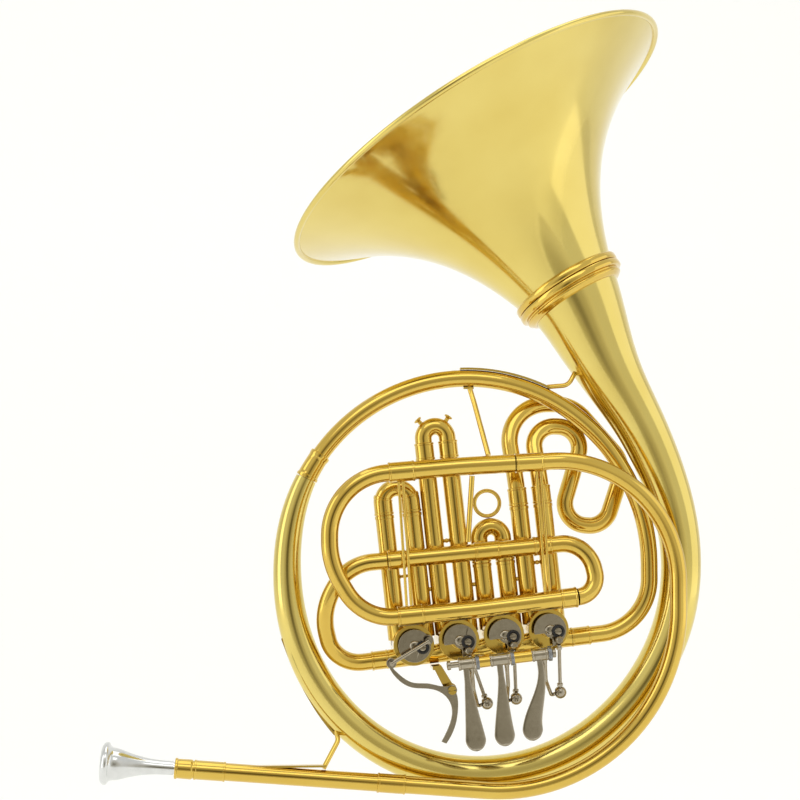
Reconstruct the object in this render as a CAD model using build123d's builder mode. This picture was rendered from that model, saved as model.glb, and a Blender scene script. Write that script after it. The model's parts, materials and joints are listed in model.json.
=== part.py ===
from build123d import *
import math
import os

# A single horn in B flat with three finger valves and a thumb valve.
# Units: mm. Frame: X to the right, Z up, Y away from the player's front side.
# The origin is the centre of the round hoop of tubing, in the middle plane of that tube.

os.makedirs("parts", exist_ok=True)

# ---- driving dimensions -------------------------------------------------------------------
TUBE_R = 6.2            # outer radius of the main tubing
WALL = 0.6              # wall of every tube
SLEEVE_R = 6.7          # outer radius of the fixed valve slide legs
INNER_R = 6.05          # outer radius of a slide leg inside its fixed leg
JOINT_GAP = 0.6         # gap between two tube ends under a ferrule
FIT = 0.05              # radial clearance of a slide leg in its fixed leg
HOOP_R = 131.0          # centre line radius of the hoop

RIM_R = 159.0           # bell rim radius
RIM_CENTRE = Vector(11.9, 36.0, 310.0)
BELL_TURN = 120.3       # direction of the bell axis in the XZ plane, degrees from +X
BELL_TILT = 10.2        # lean of the bell axis away from the player, degrees
FLARE_LENGTH = 150.0    # length constant of the flare curve
FLARE_POWER = 2.31      # power of the flare curve
FLARE_END = 131.0       # distance from the rim to the screw ring

VALVE_TILT = 6.3        # slope of the valve row, degrees
VALVE_PITCH = 32.5
VALVE_A = -47.5         # place of the first rotor along the row
VALVE_B = -55.5         # height of the rotors in the row's own frame
CASING_R = 14.6
ROTOR_R = 12.7
CASING_HALF = 14.0
PORT_B = -64.7          # height of the ports that join the valves in a row
HINGE_B = -69.6         # finger lever hinge, height and distance to the front
HINGE_H = 44.0
HINGE_ROD_R = 2.0
CRANK_R = 8.5           # link post on a finger valve's stop disc
CRANK_ANGLE = -58.0
POST_H = 28.3           # a link's upper eye, in front of the stop disc's crank pad

# ---- frames -------------------------------------------------------------------------------
cos_v = math.cos(math.radians(VALVE_TILT))
sin_v = math.sin(math.radians(VALVE_TILT))
ROW = Vector(cos_v, 0, sin_v)          # along the valve row
RISE = Vector(-sin_v, 0, cos_v)        # up the valve slides
FRONT = Vector(0, -1, 0)               # towards the player's front side


def at(a, b, h=0.0):
    """A point in the valve row's own frame: a along the row, b up the slides, h to the front."""
    return ROW * a + RISE * b + FRONT * h


def row_plane(a, b, h=0.0):
    """A plane square to the rotor axes, with its normal to the front."""
    return Plane(origin=at(a, b, h), x_dir=ROW, z_dir=FRONT)


def leg_plane(a, b, h=0.0):
    """A plane square to the valve slides, with its normal up the slides."""
    return Plane(origin=at(a, b, h), x_dir=ROW, z_dir=RISE)


tilt = math.radians(BELL_TILT)
turn = math.radians(BELL_TURN)
BELL_AXIS = Vector(math.cos(turn) * math.cos(tilt), math.sin(tilt), math.sin(turn) * math.cos(tilt))
BELL_SIDE = Vector(math.sin(turn), 0, -math.cos(turn))
bell_plane = Plane(
    origin=RIM_CENTRE, x_dir=BELL_AXIS * -1, z_dir=(BELL_AXIS * -1).cross(BELL_SIDE)
)


def flare_radius(s):
    """Outer radius of the bell at a distance s from the rim, a Bessel horn."""
    return RIM_R * (FLARE_LENGTH / (FLARE_LENGTH + s)) ** FLARE_POWER


def save(part, name):
    part.label = name
    export_step(part, "parts/" + name + ".step")


def tube(corners, bends, outer=TUBE_R, bore=None):
    """A hollow tube whose centre line is straight runs joined by tangent arcs."""
    if bore is None:
        bore = outer - WALL
    with BuildPart() as pipe:
        with BuildLine() as run:
            if bends:
                FilletPolyline(*corners, radius=bends)
            else:
                Line(*corners)
        with BuildSketch(Plane(origin=run.line @ 0, z_dir=run.line % 0)):
            Circle(outer)
            if bore > 0:
                Circle(bore, mode=Mode.SUBTRACT)
        sweep()
    return pipe.part


def collar(place, direction, length, outer, bore):
    """A plain ring round a straight tube, centred on place."""
    along = Vector(direction).normalized()
    start = Vector(*place) - along * (length / 2)
    with BuildPart() as ring:
        with BuildSketch(Plane(origin=start, z_dir=along)):
            Circle(outer)
            Circle(bore, mode=Mode.SUBTRACT)
        extrude(amount=length)
        chamfer(ring.edges().filter_by(GeomType.CIRCLE).group_by(SortBy.RADIUS)[-1], 0.25)
    return ring.part


def strut(start, end, radius):
    """A round rod between two points."""
    along = Vector(*end) - Vector(*start)
    with BuildPart() as rod:
        with BuildSketch(Plane(origin=Vector(*start), z_dir=along)):
            Circle(radius)
        extrude(amount=along.length)
    return rod.part


def toward(start, end, gap):
    """The point on the line from start to end that lies gap short of end."""
    start, end = Vector(*start), Vector(*end)
    return end - (end - start).normalized() * gap


# ---- bell ---------------------------------------------------------------------------------
BELL_WALL = 0.6
BEAD_R = 2.3
RING_R = 42.3

FLARE_STATIONS = (0, 4, 10, 20, 36, 60, 90, 115, FLARE_END)
outer_curve = [(s, flare_radius(s) - BEAD_R) for s in FLARE_STATIONS[:1]]
outer_curve += [(s, flare_radius(s)) for s in FLARE_STATIONS[2:]]
inner_curve = [(s - 0.9 * BELL_WALL if s < 30 else s, r - BELL_WALL) for s, r in outer_curve]
inner_curve[0] = (-BELL_WALL, RIM_R - BEAD_R)
inner_curve[-1] = (FLARE_END, flare_radius(FLARE_END) - BELL_WALL)

with BuildPart() as bell_flare:
    with BuildSketch(bell_plane):
        with BuildLine():
            outside = Spline(*outer_curve)
            inside = Spline(*inner_curve)
            Line(outside @ 0, inside @ 0)
            Line(outside @ 1, inside @ 1)
        make_face()
        with Locations((0, RIM_R - BEAD_R)):
            Circle(BEAD_R)
    revolve(axis=Axis(RIM_CENTRE, BELL_AXIS))
save(bell_flare.part, "bell_flare")

RING_FIT = 0.06
with BuildPart() as bell_ring_upper:
    with BuildSketch(bell_plane):
        with BuildLine():
            Polyline(
                (FLARE_END - 5.5, flare_radius(FLARE_END - 5.5) + RING_FIT),
                (FLARE_END - 5.5, RING_R - 1.2),
                (FLARE_END - 4.3, RING_R),
                (FLARE_END - 1.2, RING_R),
                (FLARE_END, RING_R - 1.2),
                (FLARE_END, flare_radius(FLARE_END) + RING_FIT),
                close=True,
            )
        make_face()
    revolve(axis=Axis(RIM_CENTRE, BELL_AXIS))
save(bell_ring_upper.part, "bell_ring_upper")

# The tail: (angle round the hoop centre, distance from it, outer radius, offset away)
TAIL_TURN = (
    (153.7, 131.0, 7.6, 0.0),
    (182.0, 131.0, 10.0, 0.0),
    (208.0, 136.5, 11.2, 0.0),
    (236.0, 145.5, 12.4, 0.5),
    (264.0, 153.0, 12.8, 1.5),
    (292.0, 157.2, 13.2, 2.5),
    (320.0, 158.2, 13.9, 3.0),
    (345.0, 158.3, 14.4, 3.0),
    (368.0, 156.8, 15.1, 3.0),
    (385.0, 157.0, 16.9, 3.2),
    (398.4, 161.5, 19.0, 3.8),
)
TAIL_TOP = ((108.0, 5.2, 133.0, 23.0), (92.6, 8.5, 165.5, 29.2))
TAIL_START = RIM_CENTRE - BELL_AXIS * (FLARE_END + 0.3)

tail_points = []
tail_radii = []
for angle, distance, radius, away in TAIL_TURN:
    turned = math.radians(angle)
    tail_points.append((distance * math.cos(turned), away, distance * math.sin(turned)))
    tail_radii.append(radius)
for x, y, z, radius in TAIL_TOP:
    tail_points.append((x, y, z))
    tail_radii.append(radius)
tail_points.append(TAIL_START)
tail_radii.append(flare_radius(FLARE_END))


def tail_body(shrink):
    """The tail's tapered body, smaller all round by shrink."""
    with BuildLine() as centre:
        Spline(*tail_points, tangents=(HOOP_DOWN, BELL_AXIS), tangent_scalars=(1.0, 1.0))
    path = centre.edge()
    with BuildPart() as body:
        for point, radius in zip(tail_points, tail_radii):
            where = path.param_at_point(Vector(*point))
            with BuildSketch(Plane(origin=path @ where, z_dir=path % where)):
                Circle(radius - shrink)
        loft()
    return body.part


first_angle = math.radians(TAIL_TURN[0][0])
HOOP_DOWN = Vector(-math.sin(first_angle), 0, math.cos(first_angle))

with BuildPart() as bell_tail:
    add(tail_body(0.0))
    add(tail_body(BELL_WALL), mode=Mode.SUBTRACT)
save(bell_tail.part, "bell_tail")

LOW_RING = FLARE_END + 0.3
with BuildPart() as bell_ring_lower:
    with BuildSketch(bell_plane):
        with BuildLine():
            Polyline(
                (LOW_RING, flare_radius(FLARE_END) + 0.4),
                (LOW_RING, RING_R - 1.0),
                (LOW_RING + 1.0, RING_R),
                (LOW_RING + 4.0, RING_R),
                (LOW_RING + 5.0, RING_R - 1.0),
                (LOW_RING + 6.2, RING_R - 3.6),
                (LOW_RING + 8.0, RING_R - 2.8),
                (LOW_RING + 10.0, RING_R - 3.9),
                (LOW_RING + 10.0, flare_radius(FLARE_END) + 0.4),
                close=True,
            )
        make_face()
    revolve(axis=Axis(RIM_CENTRE, BELL_AXIS))
save(bell_ring_lower.part, "bell_ring_lower")

# ---- hoop tube: from the ferrule over the top and down to the fourth finger valve ------------
HOOP_START = TAIL_TURN[0][0] - 0.1
HOOP_SWEEP = 125.0
HOOP_SIDE_X = 133.0
HOOP_SIDE_BEND = 130.0
HOOP_LOW_BEND = 40.0
VALVES = [VALVE_A + VALVE_PITCH * i for i in range(4)]
STUB = 18.0            # reach of the outer port stubs from the rotor axis
port_right = at(VALVES[3] + STUB, PORT_B)
port_left = at(VALVES[0] - STUB, PORT_B)

leave_angle = math.radians(HOOP_START - HOOP_SWEEP)
leave = Vector(HOOP_R * math.cos(leave_angle), 0, HOOP_R * math.sin(leave_angle))
down = Vector(math.sin(leave_angle), 0, -math.cos(leave_angle))
side_top = leave + down * ((HOOP_SIDE_X - leave.X) / down.X)
low_reach = (HOOP_SIDE_X - port_right.X) / cos_v
side_low = port_right + ROW * low_reach

with BuildPart() as hoop_tube:
    with BuildLine() as hoop_line:
        with BuildLine(Plane.XZ):
            CenterArc((0, 0), HOOP_R, HOOP_START, -HOOP_SWEEP)
        FilletPolyline(leave, side_top, side_low, port_right, radius=[HOOP_SIDE_BEND, HOOP_LOW_BEND])
    with BuildSketch(Plane(origin=hoop_line.wire() @ 1, z_dir=hoop_line.wire() % 1)):
        Circle(TUBE_R)
        Circle(TUBE_R - WALL, mode=Mode.SUBTRACT)
    sweep()
save(hoop_tube.part, "hoop_tube")

# ferrule over the joint of tail and hoop, a short curved sleeve
FERRULE_SPAN = 9.0     # degrees
with BuildPart() as hoop_ferrule:
    with BuildLine(Plane.XZ) as ferrule_line:
        CenterArc((0, 0), HOOP_R, HOOP_START - 0.1, -FERRULE_SPAN)
    with BuildSketch(Plane(origin=ferrule_line.line @ 0, z_dir=ferrule_line.line % 0)):
        Circle(TUBE_R + 1.9)
        Circle(TUBE_R + 0.05, mode=Mode.SUBTRACT)
    sweep()
save(hoop_ferrule.part, "hoop_ferrule")

# ---- lead pipe ------------------------------------------------------------------------------
LEAD_START = Vector(-197.0, -16.0, -145.8)
LEAD_LOW = Vector(148.7, -22.0, -174.0)
LEAD_HIGH = Vector(148.7, -25.0, 75.7)
LEAD_END = Vector(30.0, -28.0, 68.85)
LEAD_BENDS = [128.5, 86.5]
lead_pipe = tube([LEAD_START, LEAD_LOW, LEAD_HIGH, LEAD_END], LEAD_BENDS)
save(lead_pipe, "lead_pipe")

lead_axis = (LEAD_START - LEAD_LOW).normalized()
RECEIVER_LENGTH = 12.4
receiver_end = LEAD_START + lead_axis * RECEIVER_LENGTH
SHANK_R = 4.2
receiver_plane = Plane(origin=LEAD_START, x_dir=lead_axis, z_dir=lead_axis.cross(Vector(0, 0, 1)))
with BuildPart() as mouthpiece_receiver:
    with BuildSketch(receiver_plane):
        with BuildLine():
            Polyline(
                (0.0, SHANK_R + FIT),
                (0.0, TUBE_R + 0.5),
                (1.2, TUBE_R + 0.8),
                (RECEIVER_LENGTH - 2.4, TUBE_R + 0.6),
                (RECEIVER_LENGTH - 1.8, TUBE_R + 1.2),
                (RECEIVER_LENGTH, TUBE_R + 1.2),
                (RECEIVER_LENGTH, SHANK_R + FIT),
                close=True,
            )
        make_face()
    revolve(axis=Axis(LEAD_START, lead_axis))
save(mouthpiece_receiver.part, "mouthpiece_receiver")

# Mouthpiece: a flat land on the rim, a deep cup, a narrow throat and a tapered shank
MOUTH_LENGTH = 63.0     # rim land to shank end
INSERT = 11.5
LAND_INNER = 9.6
LAND_OUTER = 10.6
mouth_tip = receiver_end + lead_axis * (MOUTH_LENGTH - INSERT)
mouth_plane = Plane(origin=mouth_tip, x_dir=lead_axis * -1, z_dir=lead_axis.cross(Vector(0, 0, 1)))
with BuildPart() as mouthpiece:
    with BuildSketch(mouth_plane):
        with BuildLine():
            land = Line((0, LAND_INNER), (0, LAND_OUTER))
            lip = Spline((0, LAND_OUTER), (1.6, 13.9), (3.9, 14.9), (5.8, 13.2))
            cup_out = Spline(
                (5.8, 13.2), (10.0, 11.4), (17.0, 9.4), (25.0, 7.2), (34.0, 5.6),
                (MOUTH_LENGTH - INSERT - 1.0, 4.9),
            )
            step = Line((MOUTH_LENGTH - INSERT - 1.0, 4.9), (MOUTH_LENGTH - INSERT - 1.0, SHANK_R))
            shank = Line((MOUTH_LENGTH - INSERT - 1.0, SHANK_R), (MOUTH_LENGTH, SHANK_R - 0.1))
            tip = Line((MOUTH_LENGTH, SHANK_R - 0.1), (MOUTH_LENGTH, 3.3))
            bore = Line((MOUTH_LENGTH, 3.3), (30.0, 2.3))
            cup_in = Spline((30.0, 2.3), (22.0, 4.6), (12.0, 7.4), (4.0, 8.9), (0, LAND_INNER))
        make_face()
    revolve(axis=Axis(mouth_tip, lead_axis))
save(mouthpiece.part, "mouthpiece")

# ---- runs, right bow, main tuning slide -------------------------------------------------------
SLIDE_TILT = math.radians(5.0)
slide_dir = Vector(-math.cos(SLIDE_TILT), 0, -math.sin(SLIDE_TILT))
RUN_Y = -28.0
RUN_R = 6.6
RUN_BORE = INNER_R + FIT
SHALLOW_BEND = 300.0

TOP_KNEE = Vector(-8.0, RUN_Y, 66.66)
TOP_LEFT = TOP_KNEE + slide_dir * 52.7
top_run = tube([LEAD_END + (TOP_KNEE - LEAD_END).normalized() * JOINT_GAP, TOP_KNEE, TOP_LEFT],
               [SHALLOW_BEND], RUN_R, RUN_BORE)
save(top_run, "top_run")

LOW_RIGHT = Vector(74.2, RUN_Y, -26.1)
LOW_KNEE = Vector(2.0, RUN_Y, -34.4)
LOW_LEFT = LOW_KNEE + slide_dir * 56.0
lower_run = tube([LOW_RIGHT, LOW_KNEE, LOW_LEFT], [SHALLOW_BEND], RUN_R, RUN_BORE)
save(lower_run, "lower_run")

MIDDLE_Y = -20.0
bow_in = (LOW_RIGHT - LOW_KNEE).normalized()
BOW_START = LOW_RIGHT + bow_in * JOINT_GAP
BOW_LOW = LOW_RIGHT + bow_in * 17.0 + Vector(0, 1.4, 0)
MIDDLE_RIGHT = Vector(56.9, MIDDLE_Y, 10.7)
MIDDLE_LEFT = Vector(-60.0, MIDDLE_Y + 3.0, -0.3)
bow_out = (MIDDLE_RIGHT - MIDDLE_LEFT).normalized()
BOW_HIGH = MIDDLE_RIGHT + bow_out * 26.5
BOW_BENDS = [14.6, 22.0]
right_bow = tube([BOW_START, BOW_LOW, BOW_HIGH, MIDDLE_RIGHT + bow_out * JOINT_GAP], BOW_BENDS)
save(right_bow, "right_bow")
middle_run = tube([MIDDLE_RIGHT, MIDDLE_LEFT], [])
save(middle_run, "middle_run")

crook_in = MIDDLE_LEFT - bow_out * JOINT_GAP
first_valve_crook = tube(
    [
        crook_in,
        crook_in - bow_out * 28.0 + Vector(0, 1.0, 0),
        (-107.0, -11.5, -36.0),
        at(-104.5, PORT_B),
        port_left,
    ],
    [34.0, 44.0, 23.5],
)
save(first_valve_crook, "first_valve_crook")

# main tuning slide: two inner legs and a wide bow, drawn out to the left
SLIDE_LEG = 50.0       # length of the inner legs inside the runs
SLIDE_GAP = 0.3
BOW_LEFT_X = -101.8
top_mouth = TOP_LEFT + slide_dir * SLIDE_GAP
low_mouth = LOW_LEFT + slide_dir * SLIDE_GAP
u_top = top_mouth + slide_dir * ((top_mouth.X - BOW_LEFT_X) / math.cos(SLIDE_TILT))
u_low = low_mouth + slide_dir * 24.0
U_KNEE = Vector(BOW_LEFT_X, RUN_Y, -2.0)
with BuildPart() as tuning_slide:
    add(tube([top_mouth, u_top, U_KNEE, u_low, low_mouth], [44.0, 58.0, 37.0], TUBE_R, INNER_R - WALL))
    for mouth in (top_mouth, low_mouth):
        add(tube([mouth, mouth - slide_dir * SLIDE_LEG], [], INNER_R, INNER_R - WALL))
save(tuning_slide.part, "tuning_slide")

# ---- ferrules on the fixed tubes --------------------------------------------------------------
FERRULE_WALL = 0.8
FERRULE_LIST = (
    # place, direction, length, radius of the tube inside
    (LEAD_START - lead_axis * 12.0, lead_axis, 22.0, TUBE_R),
    (LEAD_START - lead_axis * 140.0, lead_axis, 20.0, TUBE_R),
    (LEAD_END + (LEAD_HIGH - LEAD_END).normalized() * 10.2, LEAD_HIGH - LEAD_END, 20.0, TUBE_R),
    (LOW_RIGHT - bow_in * 6.0, bow_in, 11.8, RUN_R),
    (MIDDLE_RIGHT - bow_out * 6.0, bow_out, 26.0 / 2, TUBE_R),
    (MIDDLE_RIGHT - bow_out * 46.0, bow_out, 18.0, TUBE_R),
    (MIDDLE_LEFT + bow_out * 6.5, bow_out, 12.6, TUBE_R),
    (port_left - ROW * 6.2, ROW, 12.0, TUBE_R),
    (TOP_LEFT - slide_dir * 9.4, slide_dir, 18.6, RUN_R),
    (LOW_LEFT - slide_dir * 9.4, slide_dir, 18.6, RUN_R),
    (port_right + ROW * 7.2, ROW, 14.0, TUBE_R),
)
with BuildPart() as tube_ferrules:
    for place, along, length, inside_r in FERRULE_LIST:
        add(collar(place, along, length, inside_r + FERRULE_WALL, inside_r + 0.05))
save(tube_ferrules.part, "tube_ferrules")

# ---- valve casings -----------------------------------------------------------------------------
LEG_BORE = SLEEVE_R - WALL
KNUCKLE_TOP = -36.0
LEG_PLACES = {
    "a": (-57.2, -37.2),
    "b": (-23.0, -5.6),
    "c": (9.4, 26.6),
    "d": (41.0, 58.5),
}
VALVE_NAMES = ("a", "b", "c", "d")

for name, a in zip(VALVE_NAMES, VALVES):
    first_stub = STUB if name == "a" else VALVE_PITCH / 2 - 0.02
    last_stub = STUB if name == "d" else VALVE_PITCH / 2 - 0.02
    with BuildPart() as casing:
        with BuildSketch(row_plane(a, VALVE_B, -CASING_HALF)):
            Circle(CASING_R)
        extrude(amount=2 * CASING_HALF)
        for leg in LEG_PLACES[name]:
            with BuildSketch(leg_plane(leg, VALVE_B + 4.0)):
                Circle(SLEEVE_R + 0.2)
            extrude(amount=KNUCKLE_TOP - VALVE_B - 4.0)
        with BuildSketch(Plane(origin=at(a - first_stub, PORT_B), x_dir=FRONT, z_dir=ROW)):
            Circle(TUBE_R + 0.6)
        extrude(amount=first_stub + last_stub)
        with BuildSketch(row_plane(a, VALVE_B, -CASING_HALF)):
            Circle(ROTOR_R + FIT)
        extrude(amount=2 * CASING_HALF, mode=Mode.SUBTRACT)
        for leg in LEG_PLACES[name]:
            with BuildSketch(leg_plane(leg, VALVE_B)):
                Circle(LEG_BORE - 1.0)
            extrude(amount=KNUCKLE_TOP - VALVE_B, mode=Mode.SUBTRACT)
        with BuildSketch(Plane(origin=at(a - first_stub, PORT_B), x_dir=FRONT, z_dir=ROW)):
            Circle(TUBE_R - WALL)
        extrude(amount=first_stub + last_stub, mode=Mode.SUBTRACT)
    save(casing.part, "valve_casing_" + name)

PLATE = 2.4
BOSS_R = 6.0
BOSS_H = 19.6
with BuildPart() as bearing_plates:
    for a in VALVES:
        with BuildSketch(row_plane(a, VALVE_B, CASING_HALF)):
            Circle(CASING_R)
            Circle(3.05, mode=Mode.SUBTRACT)
        extrude(amount=PLATE)
        with BuildSketch(row_plane(a, VALVE_B, CASING_HALF + PLATE)):
            Circle(BOSS_R)
            Circle(3.05, mode=Mode.SUBTRACT)
        extrude(amount=BOSS_H - CASING_HALF - PLATE)
save(bearing_plates.part, "bearing_plates")

with BuildPart() as back_caps:
    for a in VALVES:
        with BuildSketch(row_plane(a, VALVE_B, -CASING_HALF)):
            Circle(CASING_R)
        extrude(amount=-2.6)
        with BuildSketch(row_plane(a, VALVE_B, -CASING_HALF - 2.6)):
            Circle(9.0)
        extrude(amount=-1.6, taper=25)
save(back_caps.part, "back_caps")

# ---- rotors and stop discs ---------------------------------------------------------------------
DISC_H = 20.4
DISC_THICK = 2.6
DISC_R = 11.6
SCREW_PLACE = (5.3, -1.4)     # rubber-ringed screw on the disc, from the rotor axis
THUMB_POST = (9.8, 3.2)
# the part of a finger valve's disc that is cut away, so that the link's rod has room
LINK_NOTCH = ((0.6, -6.4), (0.6, -14.0), (-14.0, -14.0), (-14.0, -2.0), (-4.4, -2.0), (-2.4, -4.6))
crank = (
    CRANK_R * math.cos(math.radians(CRANK_ANGLE)),
    CRANK_R * math.sin(math.radians(CRANK_ANGLE)),
)

for name, a in zip(VALVE_NAMES, VALVES):
    with BuildPart() as rotor:
        with BuildSketch(row_plane(a, VALVE_B, -CASING_HALF + 1.0)):
            Circle(ROTOR_R)
        extrude(amount=2 * CASING_HALF - 2.0)
        with BuildSketch(row_plane(a, VALVE_B, CASING_HALF - 1.0)):
            Circle(3.0)
        extrude(amount=DISC_H + DISC_THICK - CASING_HALF + 1.0)
        for side in (-1, 1):
            with BuildSketch(leg_plane(a + side * 9.4, VALVE_B - ROTOR_R)):
                Circle(5.2)
            extrude(amount=2 * ROTOR_R, mode=Mode.SUBTRACT)
    save(rotor.part, "rotor_" + name)

    post = THUMB_POST if name == "a" else crank
    with BuildPart() as stop_disc:
        with BuildSketch(row_plane(a, VALVE_B, DISC_H)):
            Circle(DISC_R)
            if name != "a":
                with BuildLine():
                    Polyline(*LINK_NOTCH, close=True)
                make_face(mode=Mode.SUBTRACT)
            with Locations(post):
                Circle(3.6)
            Circle(3.04, mode=Mode.SUBTRACT)
        extrude(amount=DISC_THICK)
        with BuildSketch(row_plane(a, VALVE_B, DISC_H + DISC_THICK)):
            with Locations(SCREW_PLACE):
                Circle(4.6)
        extrude(amount=1.2)
        with BuildSketch(row_plane(a, VALVE_B, DISC_H + DISC_THICK + 1.2)):
            with Locations(SCREW_PLACE):
                Circle(2.5)
                SlotOverall(6.0, 0.8, mode=Mode.SUBTRACT)
        extrude(amount=1.4)
    save(stop_disc.part, "stop_disc_" + name)

# ---- valve slides ------------------------------------------------------------------------------
LEG_START = KNUCKLE_TOP
LEG_TOPS = {"a": 38.0, "b": 74.0, "c": -4.0, "d": 34.0}
for name in VALVE_NAMES:
    with BuildPart() as legs:
        for leg in LEG_PLACES[name]:
            with BuildSketch(leg_plane(leg, LEG_START)):
                Circle(SLEEVE_R)
                Circle(INNER_R + FIT, mode=Mode.SUBTRACT)
            extrude(amount=LEG_TOPS[name] - LEG_START)
    save(legs.part, "valve_legs_" + name)


def plain_bow(left, right, mouth_b, centre_b):
    """A narrow U from one leg to the other, with its straight parts down to mouth_b."""
    half = (right - left) / 2
    with BuildPart() as bow:
        with BuildLine(row_plane(0, 0)) as run:
            first = Line((left, mouth_b), (left, centre_b))
            over = CenterArc(((left + right) / 2, centre_b), half, 180, -180)
            Line(over @ 1, (right, mouth_b))
        with BuildSketch(Plane(origin=run.line @ 0, z_dir=run.line % 0)):
            Circle(TUBE_R)
            Circle(INNER_R - WALL, mode=Mode.SUBTRACT)
        sweep()
    return bow.part


def inner_legs(places, mouth_b, length):
    """The two telescoping legs below a bow, and the collars that hold them to it."""
    pieces = []
    for leg in places:
        foot = at(leg, mouth_b - length)
        pieces.append(tube([foot, at(leg, mouth_b)], [], INNER_R, INNER_R - WALL))
        pieces.append(collar(at(leg, mouth_b + 6.3), RISE, 12.6, SLEEVE_R + 0.45, TUBE_R - 0.1))
    return pieces


BOW_CENTRES = {"a": 47.0, "b": 89.5, "c": 13.0}
LEG_INSIDE = {"a": 55.0, "b": 70.0, "c": 26.0, "d": 55.0}
for name in ("a", "b", "c"):
    left, right = LEG_PLACES[name]
    mouth = LEG_TOPS[name] + SLIDE_GAP
    with BuildPart() as slide:
        add(plain_bow(left, right, mouth, BOW_CENTRES[name]))
        for piece in inner_legs((left, right), mouth, LEG_INSIDE[name]):
            add(piece)
    save(slide.part, "slide_" + name)

# the long slide: its bow is a loop that passes behind the hoop
D_LEFT, D_RIGHT = LEG_PLACES["d"]
D_MOUTH = LEG_TOPS["d"] + SLIDE_GAP
with BuildPart() as slide_d:
    add(
        tube(
            [
                at(D_LEFT, D_MOUTH),
                at(D_LEFT, D_MOUTH + 16.0),
                (28.0, 16.5, 113.5),
                (79.7, 17.5, 113.5),
                (119.0, 17.0, 69.0),
                (103.0, 14.0, 22.5),
                (68.5, 13.5, 26.0),
                (89.5, 13.8, 95.5),
                at(D_RIGHT, 92.0, -13.4),
                at(D_RIGHT, D_MOUTH + 16.0),
                at(D_RIGHT, D_MOUTH),
            ],
            [88.0, 30.0, 30.0, 21.5, 16.0, 16.0, 16.0, 16.0, 88.0],
            TUBE_R,
            INNER_R - WALL,
        )
    )
    for piece in inner_legs((D_LEFT, D_RIGHT), D_MOUTH, LEG_INSIDE["d"]):
        add(piece)
save(slide_d.part, "slide_d")

# pull ring on the second valve's slide, pull knobs on the first valve's slide
RING_WIRE = 1.45
RING_OUT = 10.6
c_left, c_right = LEG_PLACES["c"]
c_middle = (c_left + c_right) / 2
c_top = BOW_CENTRES["c"] + (c_right - c_left) / 2 + TUBE_R
ring_centre_b = c_top + RING_OUT + 0.1
with BuildPart() as pull_ring:
    with BuildLine(row_plane(c_middle, ring_centre_b)) as ring_line:
        CenterArc((0, 0), RING_OUT - RING_WIRE, 0, 360)
    with BuildSketch(Plane(origin=ring_line.line @ 0, z_dir=ring_line.line % 0)):
        Circle(RING_WIRE)
    sweep()
save(pull_ring.part, "pull_ring")

b_left, b_right = LEG_PLACES["b"]
b_middle = (b_left + b_right) / 2
b_reach = (b_right - b_left) / 2 + TUBE_R
with BuildPart() as pull_knobs:
    for side in (-1, 1):
        lean = math.radians(90 - side * 38)
        outward = ROW * math.cos(lean) + RISE * math.sin(lean)
        root = at(b_middle, BOW_CENTRES["b"]) + outward * (b_reach + 0.05)
        with BuildSketch(Plane(origin=root, z_dir=outward)):
            Circle(1.6)
        extrude(amount=2.6)
        with BuildSketch(Plane(origin=root + outward * 2.6, z_dir=outward)):
            Circle(3.1)
        extrude(amount=1.8)
save(pull_knobs.part, "pull_knobs")

# ---- finger levers -----------------------------------------------------------------------------
BARREL_R = 4.6
LEVER_BARRELS = ((-20.6, -9.2), (2.0, 15.6), (31.6, 42.6))
PADDLE_ENDS = ((-13.8, -124.0), (6.8, -123.0), (26.8, -121.6))
BALLS = ((0.0, -102.6), (21.2, -101.8), (53.4, -101.2))
BALL_H = 15.0
BALL_R = 2.6
SOCKET_R = 4.4
PADDLE_R = 7.3
PADDLE_THICK = 1.8
POSTS_A = ((-8.9, 1.7), (15.9, 31.3))      # the collars between the lever barrels
ARMS_A = ((-2.8, 1.0), (25.0, 30.6))       # their arms, which leave the links room
ROD_ENDS = (-26.0, 46.0)

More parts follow.
